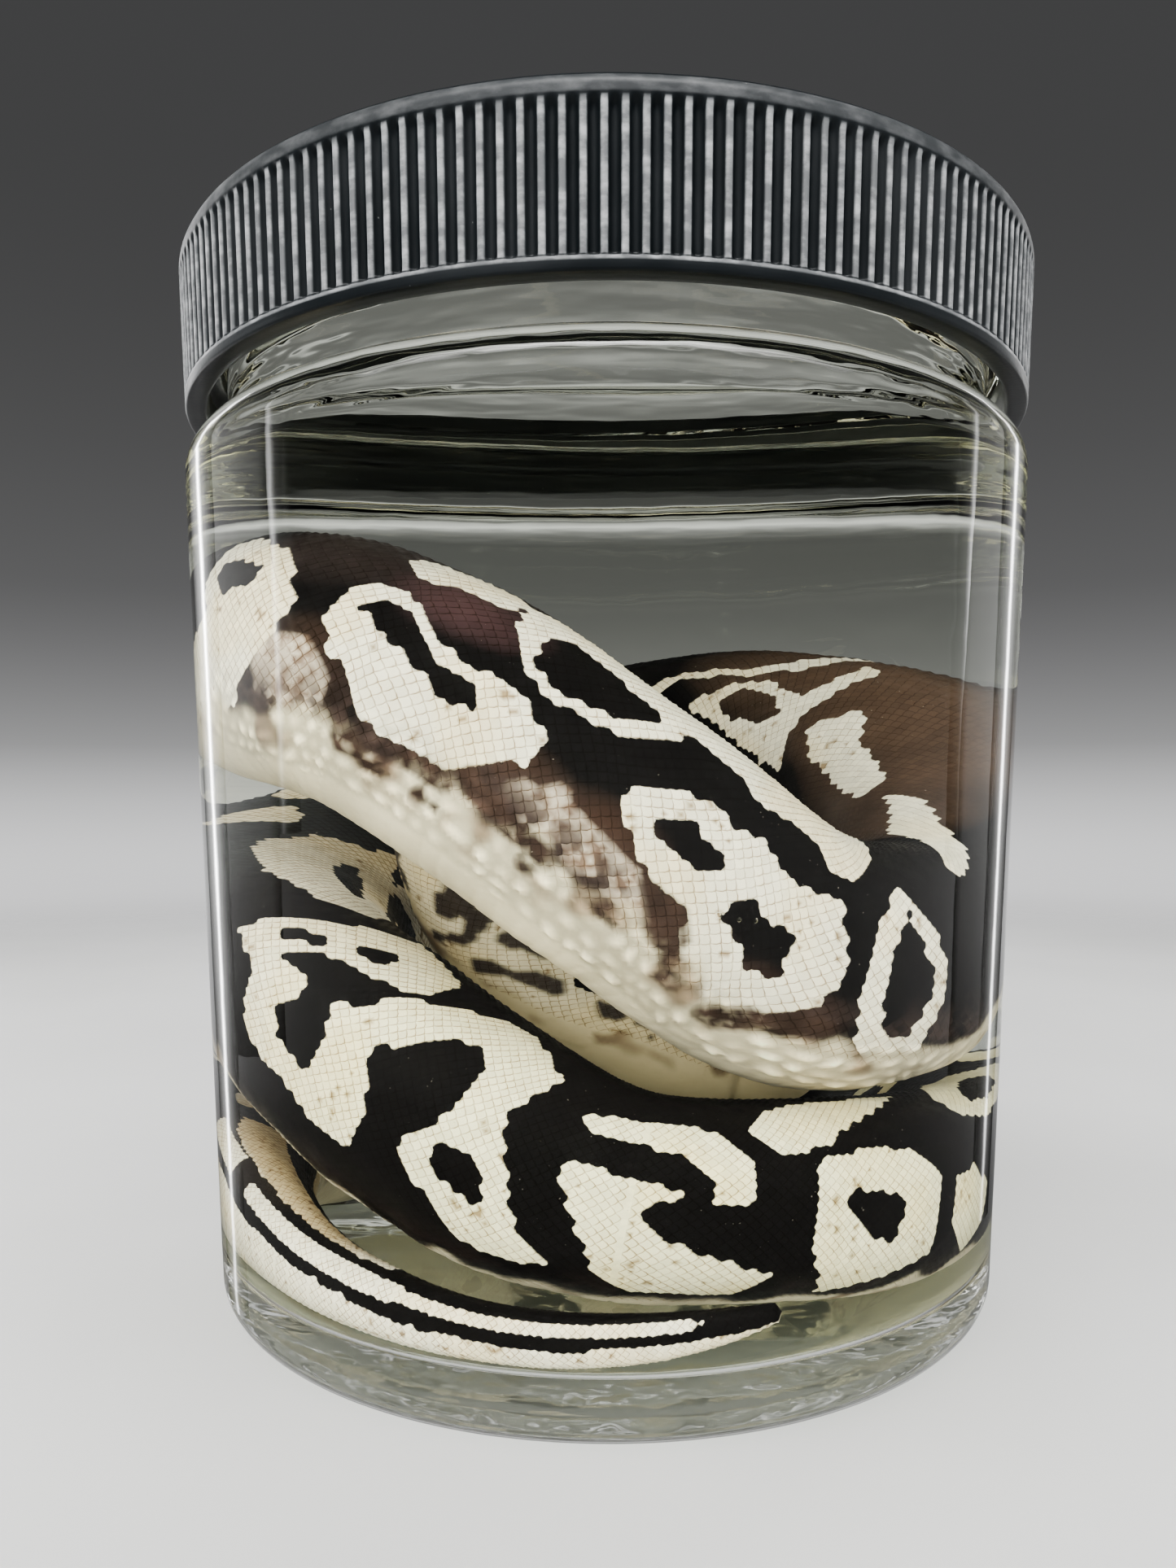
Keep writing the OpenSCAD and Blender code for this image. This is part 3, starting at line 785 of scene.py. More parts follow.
# brown strokes and clouds along the flank
BROWN = [
    [(94.2, 96), (95, 91), (96.9, 96), (98.5, 100), (100.1, 103), (101.9, 109), (101.5, 113), (100.1, 112), (98, 108), (96.6, 104), (95, 102)],
    [(105, 98), (106.3, 98), (108.5, 101), (110, 111), (110, 121), (110.8, 132), (109.4, 128), (107.7, 116), (106.1, 105)],
    [(104.3, 121), (104.3, 113), (105.5, 113), (106.3, 122), (105.3, 125)], [(99.9, 119), (100.2, 113), (101.1, 116), (101.1, 122)],
    [(109.7, 134), (111.2, 138), (111.6, 131), (110.7, 127), (110, 128)],
    [(113.1, 142), (113.6, 134), (116.5, 121), (119, 117), (119.4, 124), (115.7, 138), (114.6, 146)],
    [(86.4, 103), (88, 99), (88.9, 110), (87.5, 113)], [(88.7, 111), (90.2, 106), (91, 111), (89.5, 117)],
    [(90.2, 100), (91.7, 99), (94, 97), (94.6, 105), (92.2, 108), (90.9, 106)], [(92, 116), (93.2, 111), (94.9, 113), (93.6, 118)],
]
# patches where cream and brown mix in a fine mottle
FRECKLED = [
    [(96.6, 97), (97.6, 88), (99.3, 83), (99.8, 83), (102.4, 91), (103.9, 95), (105.7, 98), (107, 105), (108.4, 119), (106.6, 115), (104.2, 112), (102.9, 108), (100.7, 107), (98.6, 102)],
    [(79.4, 84), (80.6, 76), (82, 73), (83.8, 75), (85.2, 88), (85.2, 100), (82.1, 107), (80.1, 103)],
]
# soft tints of the dark ground: centre, half-sizes, colour. The two at 134 and 146 are dark brown skin with a painted
# brown sheen on it.
TINTS_AND_SHEEN = [
    (66, 8, 9, 34, (0.034, 0.024, 0.024)), (71, 30, 5, 20, (0.060, 0.034, 0.036)), (62, 20, 5, 30, (0.030, 0.022, 0.021)),
    (84, 96, 5, 22, (0.050, 0.028, 0.020)), (78, 90, 5, 20, (0.062, 0.036, 0.026)), (65, 85, 4, 26, (0.045, 0.027, 0.020)),
    (134, -20, 20, 55, (0.105, 0.066, 0.046)), (146, -30, 12, 50, (0.090, 0.058, 0.042)), (97, 122, 5, 20, (0.045, 0.026, 0.020)),
    (206, -70, 16, 40, (0.07, 0.06, 0.05)), (378, 0, 10, 60, (0.03, 0.022, 0.016)),
]


def procedural(s, phi):
    """Cream ovals with dark centres down both flanks, small dashes along the back."""
    cream = np.zeros(s.shape, bool)
    for side in (-1, 1):
        a = phi * side
        k0 = np.floor(s / 14.0 + (0.5 if side > 0 else 0))
        for dk in (-1, 0, 1):
            k = k0 + dk
            j1 = hashed(k, k * 0 + 3 + side, k * 0 + 7) - 0.5
            j2 = hashed(k, k * 0 + 11 + side, k * 0 + 5) - 0.5
            j3 = hashed(k, k * 0 + 17 + side, k * 0 + 2)
            c = (k + (0 if side > 0 else 0.5)) * 14.0 + 4 * j1
            half = 4.6 + 1.6 * j2
            wob = 0.16 * np.sin(a / 11 + 6 * j3) + 0.10 * np.sin(a / 5.3 + 9 * j1)
            u = (s - c) / half + wob
            w = (a - 88 - 12 * j2) / (48 + 8 * j1)
            d = np.abs(u) ** 2.3 + np.abs(w) ** 2.6
            us = (s - c - 1.2 * j1) / (1.3 + 0.9 * j3)
            ws = (a - 62 - 8 * j2) / (13 + 8 * j1)
            d2 = us ** 2 + ws ** 2
            us = (s - c + 1.4 * j2) / 1.2
            ws = (a - 98 - 10 * j3) / (9 + 6 * j2)
            d3 = np.where(j3 > 0.35, us ** 2 + ws ** 2, 9)
            cream |= (d < 1) & (d2 > 1) & (d3 > 1)
    k = np.floor(s / 11.0)
    j = hashed(k, k * 0 + 21, k * 0 + 9)
    u = (s - (k + 0.5) * 11.0) / (2.6 + 2.0 * j)
    w = (phi - 10 * (j - 0.5)) / (9 + 7 * j)
    cream |= (u ** 2 + w ** 2 < 1) & (j > 0.3)
    return cream


def marking(s, th, phi):
    """True where a scale is cream."""
    s = nat(s)
    q = s - OFF
    front = ((q > 46) & (q < 158) & (th > -88) & (th < np.where(q > 124, 40, 150))) | ((q > 196) & (q < 290) & (th > -62) & (th < 150))
    out = procedural(s, phi)
    man = np.zeros(s.shape, bool)
    for p in CREAM:
        man |= inside(q, th, p)
    for p in DARK:
        man &= ~inside(q, th, p)
    out = np.where(front, man, out)
    tail = s > 386
    r = radius(s)
    wob = 0.35 * (hashed(np.floor(s / 1.9).astype(np.int64), np.sign(phi).astype(np.int64), np.zeros(s.shape, np.int64)) - 0.5)
    hw = np.interp(s, [400, 410, 418, 430, 439], [1.10, 0.92, 0.74, 0.55, 0.38])
    stripe = (np.abs(phi) * r / 57.3 < hw + wob * 0.4) & (s > 400.6) & (s < 439.4)
    first_ = (np.abs(phi + 4) * r / 57.3 < 1.9) & (s > 390.8) & (s < 397.6)
    under = (np.abs(phi) * r / 57.3 > np.interp(s, [385, 390, 393, 396, 404, 420, 436], [9.5, 4.6, 3.1, 2.7, 2.3, 1.9, 1.4]) + 0.7 * wob) & ((phi > 0) | (phi < -112) | ((phi > -76) & (s > 390) & (s < 416)))
    out = np.where(tail, stripe | under | first_, out)
    # neck and head: bars across a cream side, dark crown
    bar = np.mod(s + 3 * hashed(np.floor(s / 5.2).astype(np.int64), (phi > 0).astype(np.int64), np.zeros(s.shape, np.int64)), 5.2) < 2.2
    bar |= np.abs(phi) < 34
    bar &= np.abs(phi) < 118
    shown = (th < -55) & (th > -150)
    neck = np.where(shown, True, ~bar)
    out = np.where(s < 42, neck, out)
    crown = (s < 19) & (np.abs(phi) < 92) & ~((np.abs(phi) > 50) & (np.abs(phi) < 72) & (s > 8.5))
    out = np.where(crown, False, out)
    return out


def extra(s, th):
    """0 plain, 1 brown stroke, 2 freckled patch, 3 neck bar."""
    here, s = s, nat(s)
    out = np.zeros(s.shape, int)
    wide = [np.array(p, float) for p in BARS]
    wide = [(q.mean(0) + (q - q.mean(0)) * 1.08).tolist() for q in wide]
    for p in FRECKLED:
        out[inside(s, th, p)] = 2
    for p in BROWN:
        out[inside(s, th, p)] = 1
    for p in wide:
        out[inside(here, th, p)] = 3
    return out


def s1_only(s):
    s = nat(s)
    return smooth(66, 80, s) * (1 - smooth(126, 138, s))


def belly_at(s):
    """Degrees round from the back where the underside's plates begin."""
    return 126 + 28 * s1_only(s) + 20 * smooth(236, 246, s) * (1 - smooth(300, 312, s))


def edge_at(s):
    """Degrees round from the back where the skin turns pale."""
    return 120 + 7 * smooth(70, 80, s) * (1 - smooth(88, 97, s)) + 20 * smooth(236, 246, s) * (1 - smooth(300, 312, s))


def skin_colour(s, th, phi, cream, kind, n1, n2, n3, bead, jitter, jit2):
    """Linear colour at each point, given what its scale is."""
    q = nat(s) - OFF
    belly = belly_at(s)
    base = np.empty((len(s), 3))
    base[:] = (0.0075, 0.0066, 0.0068)
    for cs, ct, hs, ht, col in TINTS_AND_SHEEN:
        w = np.clip(1 - ((q - cs) / hs) ** 2 - ((th - ct) / ht) ** 2, 0, 1) ** 0.8
        w = (w * (0.55 + 0.7 * n3))[:, None].clip(0, 1)
        base = base * (1 - w) + np.array(col) * w
    base *= (0.90 + 0.2 * jitter)[:, None]
    pale = np.array([0.76, 0.70, 0.585]) * (0.90 + 0.14 * jitter)[:, None]
    warm = smooth(0.45, 0.8, n3)[:, None]
    pale = pale * (1 - warm) + pale * np.array([1.0, 0.955, 0.86]) * warm
    low = (smooth(215, 235, q) * (1 - smooth(300, 320, q)))[:, None]
    pale = pale * (1 - low) + pale * np.array([0.99, 1.0, 0.86]) * low
    # painted blue-grey sheen on the far coil: dark scales lifted to a blue-grey, cream greyed
    far = (smooth(172, 186, q) * (1 - smooth(206, 216, q)))[:, None]
    pale = pale * (1 - far) + pale * np.array([0.86, 0.86, 0.84]) * far
    base = base * (1 - far) + np.array([0.030, 0.032, 0.034]) * far
    out = pale if cream else base
    if cream:
        # a few fine dark flecks on cream scales
        fleck = (n2 > 0.80) & (n1 > 0.52) & (np.abs(phi) > 40)
        out = np.where(fleck[:, None], out * np.array([0.42, 0.34, 0.27]), out)
    # freckled patches and brown strokes
    speck = smooth(0.30, 0.55, 0.6 * n2 + 0.4 * n1)[:, None]
    fre = (1 - speck) * np.array([0.20, 0.135, 0.10]) + speck * np.array([0.52, 0.44, 0.37])
    fre = fre * (0.95 + 0.1 * jit2)[:, None]
    k2 = smooth(0.2, 0.7, kind[1])[:, None]
    out = out * (1 - k2) + fre * k2
    brown = np.array([0.045, 0.028, 0.022]) * (0.6 + 0.9 * n1)[:, None]
    # the ground browns toward the belly, scale by scale
    near = (smooth(-30, -4, np.abs(phi) - edge_at(s)) * (0.3 + 0.7 * s1_only(s)) * smooth(0.25, 0.62, 0.7 * n1 + 0.3 * jit2) * (s > 60) * (s < 330))[:, None]
    if not cream:
        out = out * (1 - near) + np.array([0.050, 0.034, 0.030]) * (0.6 + 0.8 * n2)[:, None] * near
    # the pale underside, with brown clouds along its edge
    edge = edge_at(s) + 12 * (noise(np.c_[s / 2.6, s * 0 + 2, np.sign(phi) * 3]) - 0.5) + 8 * (n1 - 0.5)
    w = smooth(-4, 4, np.abs(phi) - edge)[:, None]
    under = np.array([0.66, 0.58, 0.44]) * (0.80 + 0.34 * n3)[:, None]
    cloud = smooth(0.50, 0.72, 0.55 * noise(np.c_[s / 2.1, phi / 17, s * 0 + 4]) + 0.45 * n1)[:, None]
    cloud = cloud * (1 - smooth(8, 26, np.abs(phi) - edge))[:, None]
    under = under * (1 - cloud * 0.75) + np.array([0.15, 0.088, 0.055]) * cloud * 0.75
    w = w * (1 - smooth(382, 388, s))[:, None]
    shade = (smooth(382, 388, s) * smooth(-20, -34, phi) * (1 - smooth(410, 418, s)))[:, None] * float(cream)
    out = out * (1 - shade) + out * np.array([0.70, 0.60, 0.46]) * shade
    out = out * (1 - w) + under * w
    k1 = (smooth(0.1, 0.75, kind[0]) * (0.75 + 0.25 * smooth(0.3, 0.6, n2)))[:, None]
    out = out * (1 - k1) + brown * k1
    # beads stand out pale against the skin between them: painted light on their crowns and painted shade between them
    out = out * (1 + bead * 0.9)[:, None]
    # the neck is dull, greyer than the rest
    dull = (1 - smooth(32, 44, s))[:, None]
    out = out * (1 - dull) + (out * np.array([0.86, 0.81, 0.70])).clip(0, 0.9) * dull
    k3 = smooth(0.1, 0.9, kind[2])[:, None]
    out = out * (1 - k3) + np.array([0.050, 0.038, 0.030]) * (0.7 + 0.5 * n1)[:, None] * k3
    return out


def lift(s, th, phi):
    """Slow unevenness of the skin, in mm."""
    t = np.radians(phi)
    q = np.c_[s / 5.0, 2.2 * np.cos(t) + 5, 2.2 * np.sin(t) + 9]
    out = 0.34 * (noise(q) - 0.5)
    fold = noise(np.c_[s / 1.5, 1.4 * np.cos(t) + 2, 1.4 * np.sin(t) + 6])
    out += 0.16 * (fold - 0.5) * smooth(60, 120, np.abs(phi))
    return out * np.clip(radius(s) / 9.0, 0.15, 1)


def surface(s, phi, h):
    """Points on the skin: distance along, degrees round from the back, height off it."""
    th = phi + roll_at(s)
    t = np.radians(th)
    r = radius(s)
    # head: broad and flat
    hd = 1 - smooth(13, 19, s)
    ph = np.radians(phi)
    wide = 1 + 0.16 * hd * np.exp(-((s - 11.5) / 4.5) ** 2)
    flat = 1 - hd * (0.20 + 0.10 * np.clip(1 - s / 6, 0, 1))
    c = sample(PX_, s)
    side = sample(PSIDE, s)
    upv = sample(PU, s)
    side /= np.linalg.norm(side, axis=1)[:, None]
    upv /= np.linalg.norm(upv, axis=1)[:, None]
    ro = np.radians(roll_at(s))[:, None]
    bx = np.cos(ro) * side - np.sin(ro) * upv      # across the back
    bz = np.sin(ro) * side + np.cos(ro) * upv      # up from the back
    rr = (r + h)[:, None]
    p = c + rr * (np.sin(ph) * wide)[:, None] * bx + rr * (np.cos(ph) * flat)[:, None] * bz
    # pressed against the glass, and resting on the floor
    rad = np.hypot(p[:, 0], p[:, 1])
    lim = 33.35
    over = rad - lim
    new = np.where(over > -1.2, lim - 1.2 * np.exp(-np.clip(over + 1.2, 0, 9) / 1.2) + 0.0, rad)
    new = np.minimum(new + 0.10 * smooth(-0.5, 1.0, over), 33.48)
    k = (new / np.maximum(rad, 1e-6))[:, None]
    p[:, :2] *= k
    p[:, 2] = np.maximum(p[:, 2], BASE + 0.12)
    return p, th


def a_target(r, s):
    if s > 392:
        return 0.40
    return (0.50 - 0.035 * float(smooth(225, 245, s))) * (r / 9.8) ** 0.38


segs = []
s = 0.30
M = 24
cur = [s]
while True:
    r = float(radius(np.array(s)))
    want = 2 * math.pi * r / a_target(r, s)
    if abs(want - M) > max(2.5, 0.06 * M) and len(cur) >= 2:
        segs.append((M, cur))
        s += 0.83 * 2 * math.pi * r / M
        M = max(8, int(round(want / 2)) * 2)
        cur = [s]
        continue
    q = 0.83 * 2 * math.pi * r / M
    if s + q > LENGTH - 0.1:
        segs.append((M, cur))
        break
    s += q
    cur.append(s)

V_s, V_phi, V_h = [], [], []
T_id, T_c, T_rim = [], [], []
count = 0


def add(s_, phi_, h_):
    global count
    V_s.append(np.asarray(s_, float))
    V_phi.append(np.asarray(phi_, float))
    V_h.append(np.asarray(h_, float))
    ids = np.arange(count, count + len(s_))
    count += len(s_)
    return ids


def tris(a_, b_, c_, cs_, cp_, ra, rb, rc):
    n = len(a_)
    T_id.append(np.stack([a_, b_, c_], 1))
    T_c.append(np.stack([cs_, cp_], 1))
    T_rim.append(np.tile([ra, rb, rc], (n, 1)))


# painted shade along a scale's edge, weighted at its eight outer points, heaviest on the tail side where it overlaps
# the next scale: side, tail-side, tail, tail-side, side, head-side, head, head-side
RIM = [0.90, 1.0, 1.0, 1.0, 0.90, 0.55, 0.50, 0.55]
BOW, SET = 0.17, 0.22
prev = None
for M, ss in segs:
    ss = np.array(ss)
    N = len(ss) - 1
    step_ = 360.0 / M
    mm, nn = np.meshgrid(np.arange(M), np.arange(N + 1))
    par = (mm + nn) % 2
    inner = (par == 0) & (nn > 0) & (nn < N)
    sl = np.interp(nn + np.where(inner, SET, 0.0), np.arange(N + 1), ss).ravel()
    al = 2 * math.pi * radius(sl) / M / 0.7
    wild = 0.75 + 0.5 * hashed(mm.ravel(), nn.ravel(), np.zeros(mm.size, np.int64) + int(ss[0] * 3))
    j1 = hashed(mm.ravel(), nn.ravel() + 31, np.zeros(mm.size, np.int64) + int(ss[0] * 5)) - 0.5
    j2 = hashed(mm.ravel() + 57, nn.ravel(), np.zeros(mm.size, np.int64) + int(ss[0] * 9)) - 0.5
    sl = sl + np.where(inner.ravel(), 0.16 * j1 * 0.83 * 2 * math.pi * radius(sl) / M, 0)
    lat = add(sl, (mm * step_ - 180).ravel() + 0.16 * j2 * step_, np.where(par.ravel() == 0, 0.125 * wild, -0.045) * al).reshape(N + 1, M)
    if N > 0:
        m2, n2 = np.meshgrid(np.arange(M), np.arange(N))
        sm = np.interp(n2 + 0.5 + BOW, np.arange(N + 1), ss).ravel()
        am = 2 * math.pi * radius(sm) / M / 0.7
        mids = add(sm, ((m2 + 0.5) * step_ - 180).ravel(), -0.030 * am).reshape(N, M)
        me, ne = np.meshgrid(np.arange(M), np.arange(1, N))
        sel = (me + ne) % 2 == 0
        me, ne = me[sel], ne[sel]
        if len(me):
            L, R_ = (me - 1) % M, (me + 1) % M
            ring = [lat[ne, R_], mids[ne, me], lat[ne + 1, me], mids[ne, L], lat[ne, L], mids[ne - 1, L], lat[ne - 1, me], mids[ne - 1, me]]
            for k in range(8):
                k2 = (k + 1) % 8
                tris(lat[ne, me], ring[k], ring[k2], ss[ne], me * step_ - 180, 0.0, RIM[k], RIM[k2])
        m = np.arange(0, M, 2)
        L, R_ = (m - 1) % M, (m + 1) % M
        c0 = np.full(len(m), ss[0])
        p0 = m * step_ - 180
        tris(lat[0, m], lat[0, R_], mids[0, m], c0, p0, 0, 0.9, 1)
        tris(lat[0, m], mids[0, m], lat[1, m], c0, p0, 0, 1, 1)
        tris(lat[0, m], lat[1, m], mids[0, L], c0, p0, 0, 1, 1)
        tris(lat[0, m], mids[0, L], lat[0, L], c0, p0, 0, 1, 0.9)
        m = np.arange(N % 2, M, 2)
        L, R_ = (m - 1) % M, (m + 1) % M
        c0 = np.full(len(m), ss[N])
        p0 = m * step_ - 180
        tris(lat[N, m], lat[N - 1, m], mids[N - 1, m], c0, p0, 0, 0.5, 0.5)
        tris(lat[N, m], mids[N - 1, m], lat[N, R_], c0, p0, 0, 0.5, 0.9)
        tris(lat[N, m], lat[N, L], mids[N - 1, L], c0, p0, 0, 0.9, 0.5)
        tris(lat[N, m], mids[N - 1, L], lat[N - 1, m], c0, p0, 0, 0.5, 0.5)
    if prev is not None:
        A, B, sa = prev, lat[0], prev_s
        i = j = 0
        z = []
        while i < len(A) or j < len(B):
            if j >= len(B) or (i < len(A) and (i + 1) / len(A) <= (j + 1) / len(B)):
                z.append((A[i % len(A)], A[(i + 1) % len(A)], B[j % len(B)], sa, (i + 0.5) * 360.0 / len(A) - 180))
                i += 1
            else:
                z.append((A[i % len(A)], B[(j + 1) % len(B)], B[j % len(B)], ss[0], (j + 0.5) * 360.0 / len(B) - 180))
                j += 1
        z = np.array(z)
        tris(z[:, 0].astype(int), z[:, 1].astype(int), z[:, 2].astype(int), z[:, 3], z[:, 4], 0.3, 0.3, 0.3)
    else:
        first = lat[0]
    prev, prev_s = lat[N], ss[N]
tip0 = add([0.02], [0.0], [0.0])
tip1 = add([LENGTH], [0.0], [0.0])
k = np.arange(len(first))
tris(np.repeat(tip0, len(k)), first[(k + 1) % len(k)], first[k], np.full(len(k), 0.1), k * 360.0 / len(k) - 180, 0.2, 0.2, 0.2)
k = np.arange(len(prev))
tris(np.repeat(tip1, len(k)), prev[k], prev[(k + 1) % len(k)], np.full(len(k), LENGTH), k * 360.0 / len(k) - 180, 0.2, 0.2, 0.2)

vs, vp, vh = np.concatenate(V_s), np.concatenate(V_phi), np.concatenate(V_h)
TI, TC, TR = np.concatenate(T_id), np.concatenate(T_c), np.concatenate(T_rim)
vp = np.mod(vp + 180, 360) - 180
TC[:, 1] = np.mod(TC[:, 1] + 180, 360) - 180
ap = np.abs(vp)
# the underside has cross plates instead of scales, with a row of beads along each edge
bm = belly_at(vs)
bel = smooth(bm - 3, bm + 3, ap)
wave = np.mod(vs / 1.5, 1.0)
plate = 0.13 * smooth(0.0, 0.3, wave) * (1 - 0.35 * wave) - 0.06
row = smooth(bm - 46, bm - 30, ap) * (1 - bel) * s1_only(vs)
size = np.clip(radius(vs) / 8, 0.1, 1)
col_ = np.floor((ap - bm + 6) / 9.0 + 0.5)
bw = np.c_[vs / 2.2, ap / 14.0, np.sign(vp) * 2 + 5]
b_s = vs / 1.55 + 0.5 * np.mod(col_, 2) + 0.9 * (noise(bw) - 0.5)
b_a = (ap - bm + 6) / 9.0 + 0.75 * (noise(bw + 9) - 0.5)
strong = 0.25 + 0.95 * hashed(np.floor(b_s).astype(np.int64), np.floor(b_a + 0.5).astype(np.int64), np.sign(vp).astype(np.int64))
bead = (0.5 - 0.5 * np.cos(2 * math.pi * b_s)) * (0.5 + 0.5 * np.cos(2 * math.pi * b_a)) * strong
vh0 = vh * (1 - bel)
vh = vh0 + plate * bel * size + 0.30 * bead * size * row - 0.7 * vh0 * row
# painted light and shade for the beads: paler where a bead stands up, darker between beads
bead_light_shade = (bead - 0.30) * row * smooth(20, 40, vs)
vh = vh + lift(vs, vp, vp)
# rows of scales wander a little
wx = np.c_[vs / 6.0, 2 * np.cos(np.radians(vp)) + 3, 2 * np.sin(np.radians(vp)) + 8]
vs2 = vs + 0.55 * (noise(wx) - 0.5) * np.clip(vs / 8, 0, 1) * np.clip((LENGTH - vs) / 8, 0, 1) * np.clip(radius(vs) / 8, 0, 1)
vp2 = vp + 2.6 * (noise(wx + 17) - 0.5)
# mouth line, nostrils, eye sockets
mouth_at = lambda s_, a_: np.exp(-((a_ - (104 - 4 * smooth(0, 14, s_))) / 3.4) ** 2) * (1 - smooth(12.5, 14, s_))
nose_at = lambda s_, a_: np.exp(-(((s_ - 1.5) / 0.45) ** 2 + ((a_ - 52) / 7) ** 2))
EYE_S, EYE_A = 6.3, 60.0
sock = np.sqrt(((vs - EYE_S) / 1.45) ** 2 + ((ap - EYE_A) / 19) ** 2)
vh = vh - 0.28 * mouth_at(vs, ap) - 0.35 * nose_at(vs, ap)
vh = vh - 0.45 * np.exp(-sock ** 4) + 0.25 * np.exp(-((sock - 1.30) / 0.28) ** 2)
P, vth = surface(vs2, vp2, vh)
P[tip0[0]] = sample(PX_, np.array([0.0]))[0]
P[tip1[0]] = sample(PX_, np.array([LENGTH]))[0]
cs, cp = TC[:, 0], TC[:, 1]
cream = marking(cs, cp + roll_at(cs), cp)
kind = extra(cs, cp + roll_at(cs))
jit = hashed(np.round(cs * 7).astype(np.int64), np.round(cp * 3).astype(np.int64), np.zeros(len(cs), np.int64))
jit2 = hashed(np.round(cs * 11).astype(np.int64) + 5, np.round(cp * 5).astype(np.int64), np.ones(len(cs), np.int64))
n1, n2, n3 = noise(P / 1.6 + 11), noise(P / 0.45 + 31), noise(P / 4.5 + 5)
ci = TI.ravel()
cc = np.repeat(np.arange(len(TI)), 3)
ac = np.abs(vp[ci])
# painted shade in the mouth line and nostrils: colour darkened where they are pressed in
mouth_nose_shade = ((1 - 0.75 * mouth_at(vs[ci], ac)) * (1 - 0.7 * nose_at(vs[ci], ac)))[:, None]


def spread(flags):
    """Share of the scales that meet at each point."""
    return np.bincount(ci, np.repeat(flags.astype(float), 3), len(vs)) / np.maximum(np.bincount(ci, None, len(vs)), 1)


mark = spread(cream)[ci]
kinds = [spread(kind == k)[ci] for k in (1, 2, 3)]
args = (kinds, n1[ci], n2[ci], n3[ci], bead_light_shade[ci], jit[cc], jit2[cc])
tones = [skin_colour(vs[ci], vth[ci], vp[ci], flag, *args) * mouth_nose_shade for flag in (False, True)]
bc = bm[ci]
fade = np.clip(smooth(bc - 3, bc + 3, ac) + 0.7 * smooth(bc - 34, bc - 14, ac) * s1_only(vs[ci]), 0, 1)
# painted groove shade at the scale edges, faded out over the belly plates and the bead rows
rim = TR.ravel() * (1 - fade)
SKIN = skin_material()
snake = make("snake_body", P, TI.tolist(), [SKIN], None, True)
for attr, col in zip(("tone_dark", "tone_pale"), tones):
    at = snake.data.attributes.new(attr, "FLOAT_COLOR", "CORNER")
    at.data.foreach_set("color", np.c_[np.clip(col, 0, 1), np.ones(len(col))].astype(np.float32).ravel())
at = snake.data.attributes.new("mark", "FLOAT", "CORNER")
at.data.foreach_set("value", mark.astype(np.float32))
at = snake.data.attributes.new("rim", "FLOAT", "CORNER")
at.data.foreach_set("value", rim.astype(np.float32))
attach(snake, "jar")
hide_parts("snake_specimen")


# ------------------------------------------------------------------------ eyes
def eye_material():
    m = Mat("clouded_eye")
    at = m.node("ShaderNodeAttribute", _attribute_name="pupil")
    f = m.noise(m.coords(), 1800, 4, 0.6)
    iris = m.ramp(f, [(0.3, (0.05, 0.045, 0.04)), (0.5, (0.12, 0.11, 0.095)), (0.7, (0.22, 0.21, 0.19))])
    col = m.mix(at.outputs["Fac"], iris, (0.004, 0.004, 0.005))
    p = m.principled(Base_Color=col, Roughness=m.remap(f, 0.3, 0.7, 0.04, 0.12), IOR=1.2)
    return m.surface(p.outputs[0])


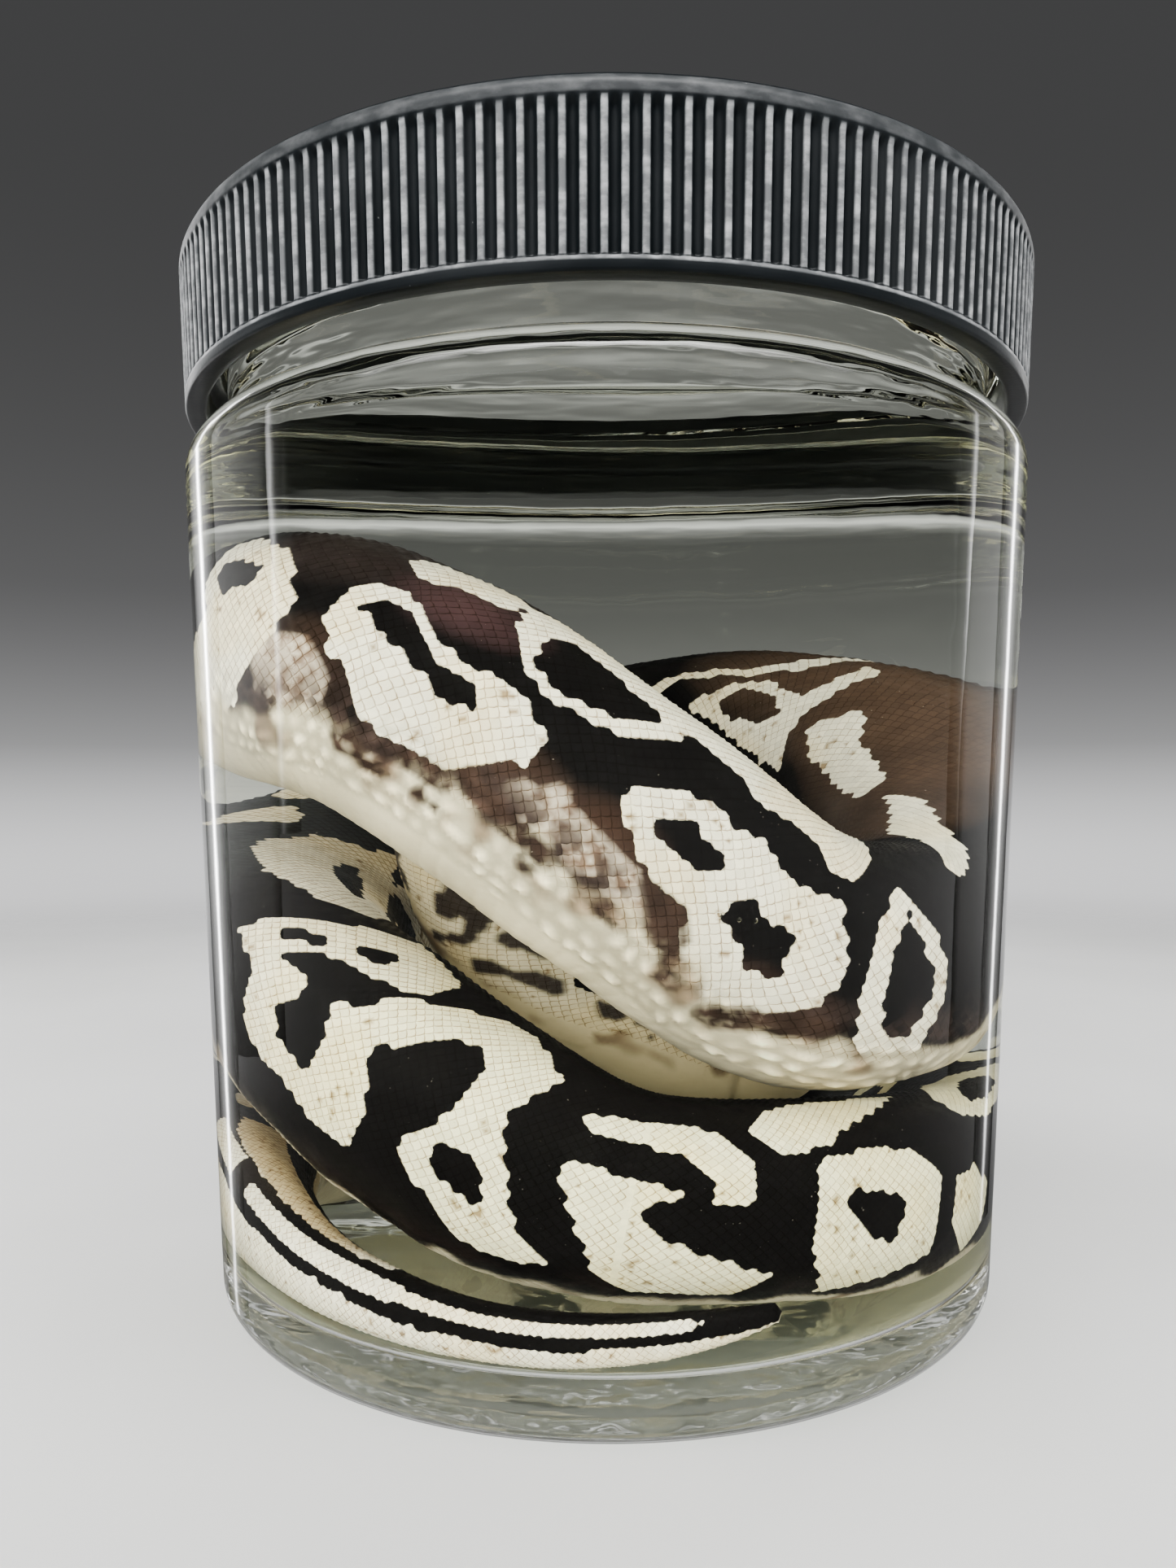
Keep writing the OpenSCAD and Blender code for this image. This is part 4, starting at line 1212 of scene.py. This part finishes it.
EYE = eye_material()
for side, tag in ((1, "right"), (-1, "left")):
    mid, _ = surface(np.array([EYE_S]), np.array([EYE_A * side]), np.array([-0.95]))
    tip, _ = surface(np.array([EYE_S]), np.array([EYE_A * side]), np.array([1.2]))
    fwd_, _ = surface(np.array([EYE_S - 1.5]), np.array([EYE_A * side]), np.array([-0.95]))
    n = (tip - mid)[0]
    n /= np.linalg.norm(n)
    t1 = (fwd_ - mid)[0]
    t1 -= n * (t1 @ n)
    t1 /= np.linalg.norm(t1)
    t2 = np.cross(n, t1)
    vv, ff, pv = [mid[0] + n * 1.18], [], [1.0]
    for r_ in range(1, 15):
        a1 = math.pi * r_ / 15
        for k in range(32):
            b1 = 2 * math.pi * k / 32
            u1, w1 = math.sin(a1) * math.cos(b1), math.sin(a1) * math.sin(b1)
            vv.append(mid[0] + 1.12 * (u1 * t1 + w1 * t2) + 1.18 * math.cos(a1) * n)
            pv.append(1.0 if (u1 / 0.18) ** 2 + (w1 / 0.52) ** 2 < 1 and a1 < 1.5 else 0.0)
    vv.append(mid[0] - n * 1.18)
    pv.append(0.0)
    for k in range(32):
        ff.append((0, 1 + k, 1 + (k + 1) % 32))
        for r_ in range(13):
            q0, q1 = 1 + r_ * 32 + k, 1 + r_ * 32 + (k + 1) % 32
            ff.append((q0, q0 + 32, q1 + 32, q1))
        ff.append((1 + 13 * 32 + (k + 1) % 32, 1 + 13 * 32 + k, len(vv) - 1))
    if np.dot(np.cross(t1, t2), n) < 0:
        ff = [f_[::-1] for f_ in ff]
    eye = make("eye_" + tag, vv, ff, [EYE], None, True)
    at = eye.data.attributes.new("pupil", "FLOAT", "POINT")
    at.data.foreach_set("value", np.array(pv, np.float32))
    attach(eye, "jar")


# --------------------------------------------------------------------- bubbles
def bubble(at_s, at_th, r, lift_):
    at_s += 1.2
    ph = at_th - float(roll_at(at_s))
    c, _ = surface(np.array([at_s]), np.array([ph]), np.array([lift_]))
    vv, ff = [c[0] + [0, 0, r]], []
    for i_ in range(1, 8):
        a1 = math.pi * i_ / 8
        for k in range(16):
            b1 = 2 * math.pi * k / 16
            vv.append(c[0] + r * np.array([math.sin(a1) * math.cos(b1), math.sin(a1) * math.sin(b1), math.cos(a1)]))
    vv.append(c[0] - [0, 0, r])
    for k in range(16):
        ff.append((0, 1 + k, 1 + (k + 1) % 16))
        for i_ in range(6):
            q0, q1 = 1 + i_ * 16 + k, 1 + i_ * 16 + (k + 1) % 16
            ff.append((q0, q0 + 16, q1 + 16, q1))
        ff.append((1 + 6 * 16 + (k + 1) % 16, 1 + 6 * 16 + k, len(vv) - 1))
    return vv, ff


BUB = clear("air_bubble", 1 / 1.36, (1, 1, 1), (1, 1, 1))
bv, bf = [], []
for at_s, at_th, r in ((110.15, 97.2, 0.25), (111.25, 94.6, 0.20), (112.05, 91.7, 0.22), (106.8, 99.5, 0.14), (96.3, 84.7, 0.13), (262.0, 60, 0.11)):
    v_, f_ = bubble(at_s, at_th, r, r * 0.9)
    bf += [tuple(i_ + len(bv) for i_ in q_) for q_ in f_]
    bv += v_
bub = make("bubbles", bv, bf, [BUB], None, True)
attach(bub, "jar")
